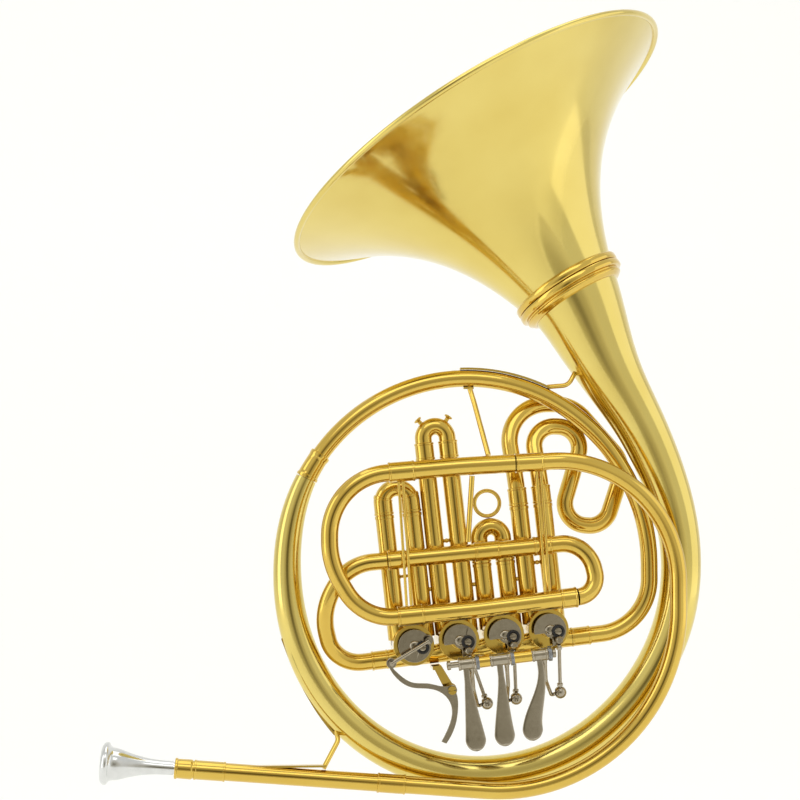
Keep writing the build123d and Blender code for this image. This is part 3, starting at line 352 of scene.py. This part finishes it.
END = FLARE_END
upper = [(END - 5.5, RING_R - 1.2), (END - 5.2, RING_R - 0.5), (END - 4.4, RING_R),
         (END - 1.1, RING_R), (END - 0.3, RING_R - 0.5), (END, RING_R - 1.2),
         (END, flare(END) + 0.1), (END - 5.5, flare(END - 5.5) + 0.1)]
piece("bell_ring_upper_turned", [carry(bell_line, upper, FACETS, True, origin=AHEAD)], tube_brass,
      "bell", ["bell_ring_upper"])
low = END + 0.3
curl = np.radians(np.linspace(70, -70, 9))
lower = [(low, RING_R - 1.0), (low + 0.3, RING_R - 0.3), (low + 1.0, RING_R), (low + 3.8, RING_R),
         (low + 4.6, RING_R - 0.3), (low + 5.0, RING_R - 1.0), (low + 5.4, RING_R - 3.6)]
lower += [(low + 7.6 - 1.5 * math.sin(c), RING_R - 4.2 + 1.5 * math.cos(c)) for c in curl]
lower += [(low + 9.4, RING_R - 4.3), (low + 10.6, RING_R - 5.6), (low + 11.2, RING_R - 7.6),
          (low + 11.2, 34.2), (low + 5, 36.0), (low, flare(END) + 0.4)]
piece("bell_ring_lower_turned", [carry(bell_line, lower, FACETS, True, origin=AHEAD)], tube_brass,
      "body", ["bell_ring_lower"])

# %% [markdown]
# The tail is a cone of brass sheet, seamed, filled with pitch and bent round a form. Its knots
# are the CAD model's own: an angle round the hoop, a distance, a radius and an offset away.

# %% Tail of the bell
HOOP_R, TUBE_R, THIN = 131.0, 6.2, 0.6
TAIL = np.array([
    (153.7, 131.0, 7.6, 0.0), (182.0, 131.0, 10.0, 0.0), (208.0, 136.5, 11.2, 0.0),
    (236.0, 145.5, 12.4, 0.5), (264.0, 153.0, 12.8, 1.5), (292.0, 157.2, 13.2, 2.5),
    (320.0, 158.2, 13.9, 3.0), (345.0, 158.3, 14.4, 3.0), (368.0, 156.8, 15.1, 3.0),
    (385.0, 157.0, 16.9, 3.2), (398.4, 161.5, 19.0, 3.8)])
q = np.radians(TAIL[:, 0])
knots = np.stack([TAIL[:, 1] * np.cos(q), TAIL[:, 3], TAIL[:, 1] * np.sin(q), TAIL[:, 2]], 1)
tail_end = rim_centre - bell_axis * (FLARE_END + 0.3)
knots = np.vstack([knots, (108.0, 5.2, 133.0, 23.0), (92.6, 8.5, 165.5, 29.2),
                   (*tail_end, float(flare(FLARE_END)))])
hoop_down = (-math.sin(q[0]), 0, math.cos(q[0]))
tail_curve = smooth(knots, (*hoop_down, 0.05), (*bell_axis, 0.30), 260)
tail_line = (tail_curve[:, :3], ways_of(tail_curve[:, :3]))
tail_s = np.r_[0, np.cumsum(np.linalg.norm(np.diff(tail_line[0], axis=0), axis=1))]
tail_wall = np.vstack([np.stack([tail_s, tail_curve[:, 3]], 1),
                       np.stack([tail_s, tail_curve[:, 3] - THIN], 1)[::-1]])
piece("bell_tail_bent", [carry(tail_line, tail_wall, 72, True)], bell_brass, "body",
      ["bell_tail"])

# %% [markdown]
# The hoop carries on from the tail's narrow end, over the top and down the right side to the
# fourth valve. The lead pipe runs outside it, from the mouthpiece along the bottom and up to
# the top run. Both are drawn tube, so their bends are arcs.

# %% Hoop and lead pipe
VALVE_TILT = math.radians(6.3)
row = np.array([math.cos(VALVE_TILT), 0, math.sin(VALVE_TILT)])
rise = np.array([-math.sin(VALVE_TILT), 0, math.cos(VALVE_TILT)])
front = np.array([0.0, -1.0, 0.0])


def at(a, b, h=0.0):
    """A point in the valve row's own frame: a along the row, b up the slides, h to the front."""
    return row * a + rise * b + front * h


VALVES = [-47.5 + 32.5 * k for k in range(4)]
PORT_B, VALVE_B = -64.7, -55.5
port_left, port_right = at(VALVES[0] - 18, PORT_B), at(VALVES[3] + 18, PORT_B)
hoop_q = np.radians(np.linspace(153.6, 28.6, 60))[:, None]
arc = HOOP_R * np.hstack([np.cos(hoop_q), 0 * hoop_q, np.sin(hoop_q)])
arc_ways = np.hstack([np.sin(hoop_q), 0 * hoop_q, -np.cos(hoop_q)])
leave, fall = arc[-1], arc_ways[-1]
side_top = leave + fall * ((133.0 - leave[0]) / fall[0])
side_low = port_right + row * ((133.0 - port_right[0]) / row[0])
right_side = run([leave, side_top, side_low, port_right], [130.0, 40.0])
hoop_line = (np.vstack([arc, right_side[0][1:]]), np.vstack([arc_ways, right_side[1][1:]]))
piece("hoop_tube_drawn", [carry(hoop_line, hollow(reach(hoop_line), TUBE_R, TUBE_R - THIN))],
      tube_brass, "body", ["hoop_tube"])
span = HOOP_R * math.radians(9.0)
grip = [(0.3, 8.0), (1.0, 8.1), (2.2, 8.1), (3.0, 7.5), (span - 4, 7.2), (span - 3.4, 7.5),
        (span - 2.4, 7.6), (span - 0.6, 7.6), (span - 0.2, 7.2), (span - 0.2, 6.3), (0.3, 6.3)]
piece("hoop_ferrule_turned", [carry(hoop_line, grip, 48, True)], tube_brass, "body",
      ["hoop_ferrule"])

lead_start, lead_low = np.array([-197.0, -16.0, -145.8]), np.array([148.7, -22.0, -174.0])
lead_high, lead_end = np.array([148.7, -25.0, 75.7]), np.array([30.0, -28.0, 68.85])
lead_line = run([lead_start, lead_low, lead_high, lead_end], [128.5, 86.5], 2.5)
piece("lead_pipe_drawn", [carry(lead_line, hollow(reach(lead_line), TUBE_R, TUBE_R - THIN))],
      tube_brass, "body", ["lead_pipe"])

# %% [markdown]
# The mouthpiece is turned from bar and silver-plated: a rounded rim with a flat land, a deep
# cup, a 4.6 mm throat and a tapered shank that wedges in the receiver at the lead pipe's end.

# %% Mouthpiece and receiver
lead_axis = unit(lead_start - lead_low)
receiver_end = lead_start + lead_axis * 12.4
mouth_tip = receiver_end + lead_axis * 51.5
mouth_line = run([mouth_tip, mouth_tip - lead_axis * 70])


def bend2(knots, count):
    """A smooth profile through two-number knots, by the same cubic as the tail."""
    k = np.asarray(knots, float)
    return smooth(np.c_[k, 0 * k[:, 0]], count=count)[:, :2]


profile = np.vstack([
    [(0.0, 10.0)],
    bend2([(0, 10.6), (0.5, 12.6), (1.8, 14.2), (3.9, 14.9), (5.3, 14.2), (5.8, 13.2)], 20),
    bend2([(5.8, 13.2), (6.6, 12.1), (10.0, 11.2), (17.0, 9.4), (25.0, 7.2), (34.0, 5.6),
           (50.5, 4.9)], 34),
    [(50.5, 4.2), (63.0, 4.1), (63.0, 3.3), (30.0, 2.3)],
    bend2([(30.0, 2.3), (22.0, 4.6), (12.0, 7.4), (4.0, 8.9), (0.0, 9.6)], 24)])
piece("mouthpiece_turned", [carry(mouth_line, profile, 72, True)], silver, "mouthpiece",
      ["mouthpiece"])
receiver = [(-12.4, 7.2), (-12.1, 7.4), (-10.9, 7.4), (-10.5, 6.9), (-10.0, 6.8), (-1.4, 7.0),
            (-0.4, 6.8), (0.0, 6.5), (0.0, 4.25), (-12.4, 4.25)]
receiver_line = run([receiver_end, lead_start])
piece("mouthpiece_receiver_turned", [carry(receiver_line, receiver, 56, True, origin=12.4)],
      tube_brass, "body", ["mouthpiece_receiver"])

# %% [markdown]
# From the lead pipe the air goes through the top run, round the main tuning slide on the left,
# back along the lower run, round the right bow, and along the middle run to the crook of the
# first valve. The slide's inner legs are a little thinner, and show when it is drawn.

# %% Runs, right bow, crook and main tuning slide
RUN_R, INNER_R, FIT, GAP = 6.6, 6.05, 0.05, 0.6
BORE_R, OPEN = 5.45, 8.0   # inside a slide leg, and how deep its bore is drawn
RUN_Y, BOW_X = -28.0, -101.8
SLIDE_TILT = math.radians(5)
slide_way = np.array([-math.cos(SLIDE_TILT), 0, -math.sin(SLIDE_TILT)])
top_knee, low_knee = np.array([-8.0, RUN_Y, 66.66]), np.array([2.0, RUN_Y, -34.4])
low_right = np.array([74.2, RUN_Y, -26.1])
top_left, low_left = top_knee + slide_way * 52.7, low_knee + slide_way * 56.0
top_line = run([lead_end + unit(top_knee - lead_end) * GAP, top_knee, top_left], [300.0], 1.0)
low_line = run([low_right, low_knee, low_left], [300.0], 1.0)
for name, line in (("top_run", top_line), ("lower_run", low_line)):
    piece(name + "_drawn", [carry(line, hollow(reach(line), RUN_R, INNER_R + FIT, 56.0))],
          tube_brass, "body", [name])

bow_in = unit(low_right - low_knee)
mid_right, mid_left = np.array([56.9, -20.0, 10.7]), np.array([-60.0, -17.0, -0.3])
bow_out = unit(mid_right - mid_left)
bow_line = run([low_right + bow_in * GAP, low_right + bow_in * 17 + (0, 1.4, 0),
                mid_right + bow_out * 26.5, mid_right + bow_out * GAP], [14.6, 22.0])
mid_line = run([mid_right, mid_left])
crook_in = mid_left - bow_out * GAP
crook_line = run([crook_in, crook_in - bow_out * 28 + (0, 1, 0), (-107.0, -11.5, -36.0),
                  at(-104.5, PORT_B), port_left], [34.0, 44.0, 23.5])
for name, line in (("right_bow", bow_line), ("middle_run", mid_line),
                   ("first_valve_crook", crook_line)):
    piece(name + "_drawn", [carry(line, hollow(reach(line), TUBE_R, TUBE_R - THIN, OPEN))],
          tube_brass, "body", [name])

SLIDE_GAP, LEG = 0.3, 50.0
top_mouth, low_mouth = top_left + slide_way * SLIDE_GAP, low_left + slide_way * SLIDE_GAP
u_top = top_mouth + slide_way * ((top_mouth[0] - BOW_X) / math.cos(SLIDE_TILT))
slide_line = run([top_mouth - slide_way * LEG, u_top, (BOW_X, RUN_Y, -2.0),
                  low_mouth + slide_way * 24, low_mouth - slide_way * LEG], [44.0, 58.0, 37.0])
n = reach(slide_line)
legs = [(OPEN, BORE_R), (0, BORE_R), (0, INNER_R), (LEG, INNER_R), (LEG, TUBE_R),
        (n - LEG, TUBE_R), (n - LEG, INNER_R), (n, INNER_R), (n, BORE_R), (n - OPEN, BORE_R)]
piece("tuning_slide_drawn", [carry(slide_line, legs)], tube_brass, "tuning_slide",
      ["tuning_slide"])

# %% [markdown]
# Where two tubes meet, a ferrule covers the joint: a short sleeve with a bead at each end. The
# beads throw the thin bright rings by which the eye finds the joints.

# %% Ferrules
def ferrule(place, way, length, inside):
    """A sleeve 0.55 mm thick with beads 0.8 mm high at both ends."""
    sleeve, top, bore, b = inside + 0.5, inside + 0.8, inside + 0.05, length
    stations = [(0, sleeve), (0.2, top), (1.3, top), (1.6, sleeve), (b - 1.6, sleeve),
                (b - 1.3, top), (b - 0.2, top), (b, sleeve), (b, bore), (0, bore)]
    start = np.asarray(place) - unit(way) * length / 2
    return carry(run([start, start + unit(way) * length]), stations, 44, True)


ferrules = [
    (lead_start - lead_axis * 12, lead_axis, 22.0, TUBE_R),
    (lead_start - lead_axis * 140, lead_axis, 20.0, TUBE_R),
    (lead_end + unit(lead_high - lead_end) * 10.2, lead_high - lead_end, 20.0, TUBE_R),
    (low_right - bow_in * 6, bow_in, 11.8, RUN_R),
    (mid_right - bow_out * 6, bow_out, 13.0, TUBE_R),
    (mid_right - bow_out * 46, bow_out, 18.0, TUBE_R),
    (mid_left + bow_out * 6.5, bow_out, 12.6, TUBE_R),
    (port_left - row * 6.2, row, 12.0, TUBE_R),
    (top_left - slide_way * 9.4, slide_way, 18.6, RUN_R),
    (low_left - slide_way * 9.4, slide_way, 18.6, RUN_R),
    (port_right + row * 7.2, row, 14.0, TUBE_R)]
piece("tube_ferrules_turned", [ferrule(*f) for f in ferrules], tube_brass, "body",
      ["tube_ferrules"])

# %% [markdown]
# Each valve adds a length of tube: two fixed legs, and a slide that tunes it. A bow is a U of
# drawn tube, its two inner legs a running fit in the fixed legs, with a sleeve over each joint.

# %% Valve legs and slides
SLEEVE_R, LEG_START = 6.7, -36.0
PLACES = {"a": (-57.2, -37.2), "b": (-23.0, -5.6), "c": (9.4, 26.6), "d": (41.0, 58.5)}
TOPS = {"a": 38.0, "b": 74.0, "c": -4.0, "d": 34.0}
CENTRES = {"a": 47.0, "b": 89.5, "c": 13.0}
INSIDE = {"a": 55.0, "b": 70.0, "c": 26.0, "d": 55.0}
for name, places in PLACES.items():
    tall = TOPS[name] - LEG_START
    tube_end = [(0, SLEEVE_R), (tall - 2.6, SLEEVE_R), (tall - 2.4, 7.1), (tall - 0.3, 7.1),
                (tall, 6.8), (tall, INNER_R + FIT), (0, INNER_R + FIT)]
    piece("valve_legs_" + name + "_drawn",
          [carry(run([at(p, LEG_START), at(p, TOPS[name])]), tube_end, 40, True) for p in places],
          tube_brass, "body", ["valve_legs_" + name])


def slide_stations(length, leg):
    """Inner leg, beaded sleeve, bow, beaded sleeve, inner leg, with open bores."""
    half = [(OPEN, BORE_R), (0, BORE_R), (0, INNER_R), (leg, INNER_R), (leg, 6.9),
            (leg + 0.3, 7.15), (leg + 1.6, 7.15), (leg + 1.9, 6.85), (leg + 10.9, 6.85),
            (leg + 11.2, 7.15), (leg + 12.3, 7.15), (leg + 12.6, 6.8), (leg + 12.7, TUBE_R)]
    return half + [(length - s, r) for s, r in half[::-1]]


for name in "abc":
    left, right = PLACES[name]
    foot = TOPS[name] + SLIDE_GAP - INSIDE[name]
    half, top = (right - left) / 2, CENTRES[name]
    line = run([at(left, foot), at(left, top + half), at(right, top + half), at(right, foot)],
               [half - 0.001, half - 0.001])
    piece("slide_" + name + "_drawn", [carry(line, slide_stations(reach(line), INSIDE[name]))],
          tube_brass, "slide_" + name, ["slide_" + name])

left, right = PLACES["d"]
mouth = TOPS["d"] + SLIDE_GAP
loop = run([at(left, mouth - INSIDE["d"]), at(left, mouth + 16), (28.0, 16.5, 113.5),
            (79.7, 17.5, 113.5), (119.0, 17.0, 69.0), (103.0, 14.0, 22.5), (68.5, 13.5, 26.0),
            (89.5, 13.8, 95.5), at(right, 92, -13.4), at(right, mouth + 16),
            at(right, mouth - INSIDE["d"])],
           [88.0, 30.0, 30.0, 21.5, 16.0, 16.0, 16.0, 16.0, 88.0])
piece("slide_d_drawn", [carry(loop, slide_stations(reach(loop), INSIDE["d"]))], tube_brass,
      "slide_d", ["slide_d"])

# %% Pull ring, pull knobs and the little braces between the legs
RING_MIDDLE, RING_WIRE = 9.15, 1.45
c_top = CENTRES["c"] + (PLACES["c"][1] - PLACES["c"][0]) / 2 + TUBE_R
ring_q = np.radians(np.linspace(0, 360, 73))[:, None]
ring_centre = at(sum(PLACES["c"]) / 2, c_top + 10.7)
ring_points = ring_centre + RING_MIDDLE * (row * np.cos(ring_q) + rise * np.sin(ring_q))
ring_ways = rise * np.cos(ring_q) - row * np.sin(ring_q)
ring_s = RING_MIDDLE * np.radians(5) * np.arange(72)
piece("pull_ring_bent", [carry((ring_points, ring_ways),
                               np.stack([ring_s, 0 * ring_s + RING_WIRE], 1), 20, True)],
      tube_brass, "slide_c", ["pull_ring"])

knob = [(-0.3, 1.6), (1.9, 1.5), (2.5, 2.2), (2.6, 2.7), (2.9, 3.1), (3.6, 3.1), (4.1, 2.6),
        (4.35, 1.4)]
b_left, b_right = PLACES["b"]
parts = []
for side in (-1, 1):
    lean = math.radians(90 - side * 38)
    way = row * math.cos(lean) + rise * math.sin(lean)
    root = at((b_left + b_right) / 2, CENTRES["b"]) + way * ((b_right - b_left) / 2 + 6.25)
    parts.append(carry(run([root - way, root + way * 6]), knob, 32, origin=1.0))
piece("pull_knobs_turned", parts, tube_brass, "slide_b", ["pull_knobs"])

parts = []
for (p, r), height in (
        (PLACES["b"], 15.0), (PLACES["d"], -8.0), (PLACES["a"], -7.0),
        ((PLACES["a"][1], PLACES["b"][0]), -18.4), ((PLACES["b"][1], PLACES["c"][0]), -18.6),
        ((PLACES["c"][1], PLACES["d"][0]), -18.3)):
    n = r - p - 2 * SLEEVE_R + 0.2
    bulge = [(0, 1.9), (0.4, 1.5), (0.6, 1.1)]
    if n > 3:
        bulge += [(n / 2 - 1.7 * math.cos(w), max(1.1, 1.7 * math.sin(w)))
                  for w in np.radians(np.linspace(38, 142, 9))]
    bulge += [(n - 0.6, 1.1), (n - 0.4, 1.5), (n, 1.9)]
    if n < 2:
        bulge = [(0, 1.5), (n, 1.5)]
    start = at(p + SLEEVE_R - 0.1, height)
    parts.append(carry(run([start, start + row * n]), bulge, 24))
piece("leg_braces_turned", parts, tube_brass, "body", ["leg_braces"])

# %% [markdown]
# The castings and the lever work are already the right shape in the CAD model, but its meshes
# are loose triangles with knife edges. Each is copied, its doubles are merged, its flat faces
# made whole, and its edges broken with a small bevel, as a file and a buff would leave them.

# %% Finished copies of the CAD pieces
def dressed(node, width):
    """A merged copy of a CAD node, bevelled by width millimetres on edges over 40 degrees."""
    mesh = frame["nodes"][node].data.copy()
    mesh.name = node + "_dressed"
    b = bmesh.new()
    b.from_mesh(mesh)
    bmesh.ops.remove_doubles(b, verts=b.verts, dist=1e-6)
    bmesh.ops.dissolve_limit(b, angle_limit=math.radians(0.4), verts=b.verts, edges=b.edges)
    b.to_mesh(mesh)
    b.free()
    mesh.materials.clear()
    mesh.materials.append(FINISH[slot_of[node]])
    mesh.shade_smooth()
    mesh.set_sharp_from_angle(angle=math.radians(32))
    made = bpy.data.objects.new(node + "_dressed", mesh)
    bpy.context.scene.collection.objects.link(made)
    bevel = made.modifiers.new("broken edge", "BEVEL")
    bevel.width, bevel.segments, bevel.limit_method = width * MM, 2, "ANGLE"
    bevel.angle_limit = math.radians(40)
    bevel.harden_normals = True
    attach(made, body_of[node])
    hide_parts(node)


for letter in "abcd":
    dressed("valve_casing_" + letter, 0.3)
    dressed("stop_disc_" + letter, 0.2)
    dressed("rotor_" + letter, 0.2)
for node, width in (
        ("bearing_plates", 0.35), ("back_caps", 0.4), ("hinge_rod", 0.3), ("hinge_posts", 0.25),
        ("thumb_lever", 0.45), ("thumb_bracket", 0.25), ("thumb_link", 0.2),
        ("bell_brace", 0.25), ("hoop_brace", 0.25), ("run_brace", 0.2), ("front_rods", 0.15),
        ("lead_pipe_brace", 0.25)):
    dressed(node, width)
print("dressed copies done")

# %% [markdown]
# A finger lever turns on a long rod: a barrel with a raised band at each end, a flat arm that
# widens into a paddle for the fingertip, and a thin bent arm to the ball that drives the link.
# The paddle is a flat, squared-off section carried down the arm, which swells and closes round.

# %% Finger levers
HINGE_B, HINGE_H, ARM_H = -69.6, 44.0, 40.9
BALL_H, BALL_R, POST_H = 15.0, 2.6, 28.3
BARRELS = ((-20.6, -9.2), (2.0, 15.6), (31.6, 42.6))
PADDLES = ((-13.8, -124.0), (6.8, -123.0), (26.8, -121.6))
BALLS = ((0.0, -102.6), (21.2, -101.8), (53.4, -101.2))
for number, ((near, far), paddle, ball) in enumerate(zip(BARRELS, PADDLES, BALLS), 1):
    middle, n = (near + far) / 2, far - near
    barrel = [(0, 4.3), (0.3, 4.6), (1.5, 4.6), (1.8, 4.2), (n - 1.8, 4.2), (n - 1.5, 4.6),
              (n - 0.3, 4.6), (n, 4.3), (n, 2.05), (0, 2.05)]
    parts = [carry(run([at(near, HINGE_B, HINGE_H), at(far, HINGE_B, HINGE_H)]), barrel, 44, True)]
    arm = smooth([at(middle, HINGE_B - 2.8, ARM_H), at(middle, HINGE_B - 16, ARM_H),
                  at((middle + paddle[0]) / 2, (HINGE_B - 16 + paddle[1]) / 2, ARM_H - 0.2),
                  at(*paddle, ARM_H), at(paddle[0], paddle[1] - 7.2, ARM_H + 0.6)])
    arm_line = (arm, ways_of(arm))
    n = reach(arm_line)
    u = np.r_[np.linspace(0, 0.72, 24), 1 - 0.28 * (1 - np.sin(np.linspace(0, np.pi / 2, 24)))[1:]]
    swell = 2.2 + 5.0 * np.clip((u - 0.16) / 0.70, 0, 1) ** 1.15
    close = np.sqrt(np.clip(1 - ((u - 0.86) / 0.14).clip(0, 1) ** 2, 0.002, 1))
    stations = np.stack([u * n, swell * close, 0.85 * np.clip(close, 0.35, 1)], 1)
    parts.append(carry(arm_line, stations, 40, power=0.45))
    bar = run([at(far - 2, HINGE_B - 3.2, HINGE_H - 2.6), at(far - 1, HINGE_B - 20, HINGE_H - 14),
               at(ball[0] - 7, ball[1] - 1, BALL_H + 2), at(ball[0] - 2, ball[1], BALL_H)],
              [9.0, 3.0])
    parts.append(carry(bar, [(0, 1.9), (8, 1.5), (reach(bar), 1.3)], 24))
    w = np.linspace(0.15, np.pi - 0.15, 18)
    centre = at(*ball, BALL_H)
    parts.append(carry(run([centre - row * 3, centre + row * 3]),
                       BALL_R * np.stack([-np.cos(w), np.sin(w)], 1), 32, origin=3.0))
    node = "finger_lever_" + str(number)
    piece(node + "_polished", parts, nickel, node, [node], sharp=40)

# %% [markdown]
# A link carries the lever's motion to the rotor: a round socket on the lever's ball, a rod with
# a lock nut at each end, and an eye held to the stop disc by a slotted screw.

# %% Finger links
CRANK_R, CRANK_TURN, SOCKET_R, SIX_SIDES = 8.5, math.radians(-58), 4.5, 6
crank = CRANK_R * np.array([math.cos(CRANK_TURN), math.sin(CRANK_TURN)])
for number, (ball, a) in enumerate(zip(BALLS, VALVES[1:]), 1):
    centre, eye = at(*ball, BALL_H), at(a + crank[0], VALVE_B + crank[1], POST_H)
    socket_line = run([centre - row * 6, centre + row * 6])
    w = np.radians(np.linspace(-48, 86, 22))
    shell = [(0, 2.7), (-3.2, 2.7), *(SOCKET_R * np.stack([np.sin(w), np.cos(w)], 1)).tolist()]
    parts = [carry(socket_line, shell, 36, facing=front, origin=6.0)]
    line = run([centre, eye])
    n = reach(line)
    parts.append(carry(line, [(4.2, 1.3), (n - 3.6, 1.3)], 20))
    for nut in (5.0, n - 7.4):
        parts.append(carry(line, [(nut, 1.9), (nut + 0.3, 2.2), (nut + 1.9, 2.2),
                                  (nut + 2.2, 1.9), (nut + 2.2, 1.31), (nut, 1.31)],
                           SIX_SIDES, True))
    head = [(-1.4, 2.5), (-1.1, 2.8), (1.6, 2.8), (2.0, 2.5), (2.02, 2.1), (2.7, 2.1), (3.0, 1.8),
            (3.02, 0.7), (2.6, 0.6)]
    parts.append(carry(run([eye - front * 2, eye + front * 4]), head, 32, facing=rise, origin=2.0))
    node = "finger_link_" + str(number)
    piece(node + "_polished", parts, nickel, node, [node], sharp=30)

# %% [markdown]
# Each lever comes back up by a coil of spring wire round the rod. The wire is a helix: once
# round the rod for every turn, and a wire's width along it.

# %% Lever springs
COIL_R, WIRE_R, TURNS = 5.0, 0.38, 3
parts = []
for end in (-8.9, 15.9, 42.6):
    w = np.linspace(0, TURNS * 2 * np.pi, 110)[:, None]
    coil = (at(end + 0.55, HINGE_B, HINGE_H) + row * (w * 0.13)
            + COIL_R * (rise * np.cos(w) + front * np.sin(w)))
    tail = coil[-1] + np.linspace(0, 5, 6)[1:, None] * unit(coil[-1] - coil[-2])
    coil = np.vstack([coil, tail])
    line = (coil, ways_of(coil))
    parts.append(carry(line, [(0, WIRE_R), (reach(line), WIRE_R)], 12, facing=row))
piece("lever_springs_coiled", parts, spring_steel, "body", ["lever_springs"])

# %% [markdown]
# On each rotor's stop disc a screw holds a black rubber ring that hits the stop and silences
# it, and a slotted screw holds the disc to the rotor's shaft.

# %% Rubber stops and disc screws
DISC_H = 20.0            # the back of the stop discs
w = np.radians(np.linspace(0, 360, 25))[:-1]
for letter, a in zip("abcd", VALVES):
    screw = at(a + 5.3, VALVE_B - 1.4, DISC_H)
    line = run([screw, screw + front * 12])
    ring = np.stack([4.9 + 1.05 * np.sin(w), 3.75 + 1.05 * np.cos(w)], 1)
    piece("stop_rubber_" + letter, [carry(line, ring, 40, True, facing=rise)], rubber,
          "rotor_" + letter)
    centre = at(a, VALVE_B, DISC_H)
    line = run([centre, centre + front * 12])
    head = [(2.6, 2.9), (3.05, 3.7), (4.1, 3.7), (4.6, 3.2), (4.9, 2.2), (4.95, 0.9), (4.3, 0.8)]
    piece("disc_screw_" + letter, [carry(line, head, 40, facing=rise)], nickel,
          "rotor_" + letter)

# %% [markdown]
# The studio is a white sweep, far enough below for the horn to hang clear of its own shadow,
# with soft boxes round a pale room. A mirror shows its surroundings, so the boxes' places and
# the darker gaps between them draw the long bands along the tubes.

# %% Floor and backdrop
def strip(name, ends_x, profile_yz, finish):
    """A strip of the studio: its profile in y and z carried along x, in metres."""
    yz = np.asarray(profile_yz, float)
    verts = [(x, y, z) for x in ends_x for y, z in yz.tolist()]
    n = len(yz)
    mesh = bpy.data.meshes.new(name)
    mesh.from_pydata(verts, [], [(i, i + n, i + n + 1, i + 1) for i in range(n - 1)])
    mesh.shade_smooth()
    mesh.materials.append(finish)
    made = bpy.data.objects.new(name, mesh)
    bpy.context.scene.collection.objects.link(made)


paper, tree, coords = new_material("matt_white_paper")
fibre = add_node(tree, "ShaderNodeTexNoise", {"Scale": 40.0}, {"Vector": (coords, "Object")})
tooth = add_node(tree, "ShaderNodeBump", {"Strength": 0.05, "Distance": 0.0005},
                 {"Height": (fibre, "Fac")})
matt = add_node(tree, "ShaderNodeBsdfPrincipled",
                {"Base Color": colour("#F4F4F2"), "Roughness": 0.9,
                 "Emission Color": colour("#FFFFFF"), "Emission Strength": 0.16},
                {"Normal": (tooth, "Normal")})
add_node(tree, "ShaderNodeOutputMaterial", links={"Surface": (matt, "BSDF")})
bend = np.radians(np.linspace(-90, 0, 16))
curve = np.array([2.2, 0.7]) + 1.2 * np.stack([np.cos(bend), np.sin(bend)], 1)
sweep = np.vstack([[(-6.0, -0.5)], curve, [(3.4, 7.0)]])
strip("white_sweep", (-7.0, 7.0), sweep, paper)
print("sweep", len(sweep), "rows")

# %% Soft boxes and room
def soft_box(name, place, target, width, height, power):
    """A rectangular area light at place that faces target."""
    data = bpy.data.lights.new(name, "AREA")
    data.shape, data.size, data.size_y = "RECTANGLE", width, height
    data.energy = power
    made = bpy.data.objects.new(name, data)
    bpy.context.scene.collection.objects.link(made)
    made.location = place
    made.rotation_euler = (Vector(target) - Vector(place)).to_track_quat("-Z", "Y").to_euler()


heart = (0.0, 0.0, 0.1)
soft_box("upper_box", (-0.4, -2.2, 2.0), heart, 2.4, 1.4, 12)
soft_box("left_box", (-2.6, -0.8, 0.5), heart, 1.2, 2.6, 11)
soft_box("right_box", (2.6, -0.5, 0.6), heart, 2.4, 2.6, 9)
soft_box("top_box", (0.0, 0.0, 2.8), heart, 2.6, 2.0, 15)

# %% [markdown]
# The room is a light tent, nearly white all round. The one dark thing in it is the opening that
# the camera looks through, a card that is grey in the middle and fades to white. Its
# reflection is the olive band down the middle of each tube.

# %% Light tent and its opening
room = bpy.data.worlds.new("light_tent")
bpy.context.scene.world = room
room.use_nodes = True
room.node_tree.nodes["Background"].inputs["Color"].default_value = colour("#EEEEEA")
room.node_tree.nodes["Background"].inputs["Strength"].default_value = 0.88

OPENING = (-0.17, -1.45, 0.04)
material, tree, coords = new_material("grey_opening_card")
radius = add_node(tree, "ShaderNodeVectorMath", {1: OPENING}, {0: (coords, "Object")},
                  operation="DISTANCE")
fade = add_node(tree, "ShaderNodeValToRGB", links={"Fac": (radius, "Value")})
fade.color_ramp.interpolation = "EASE"
stops = fade.color_ramp.elements
stops[0].position, stops[0].color = 0.10, colour("#6E6856")
stops[1].position, stops[1].color = 0.95, colour("#E9E7E0")
shade = stops.new(0.42)
shade.color = colour("#C4C0B2")
glow = add_node(tree, "ShaderNodeEmission", {"Strength": 0.95}, {"Color": (fade, "Color")})
add_node(tree, "ShaderNodeOutputMaterial", links={"Surface": (glow, "Emission")})
x, y, z = OPENING
strip("opening_card", (x - 1, x + 1), [(y, z - 0.5), (y, z + 1)], material)
# this view keeps the paper white, where a filmic one would turn it grey
bpy.context.scene.view_settings.view_transform = "Standard"

# %% Camera
camera = bpy.data.objects.new("camera", bpy.data.cameras.new("camera"))
bpy.context.scene.collection.objects.link(camera)
bpy.context.scene.camera = camera
eye, aim = Vector((-0.16007, -1.26194, 0.04867)), Vector((-0.04966, 0.0, 0.11506))
camera.location = eye
camera.rotation_euler = (aim - eye).to_track_quat("-Z", "Y").to_euler()
camera.data.sensor_width, camera.data.lens = 36.0, 78.73
print("camera", [round(v, 3) for v in eye])
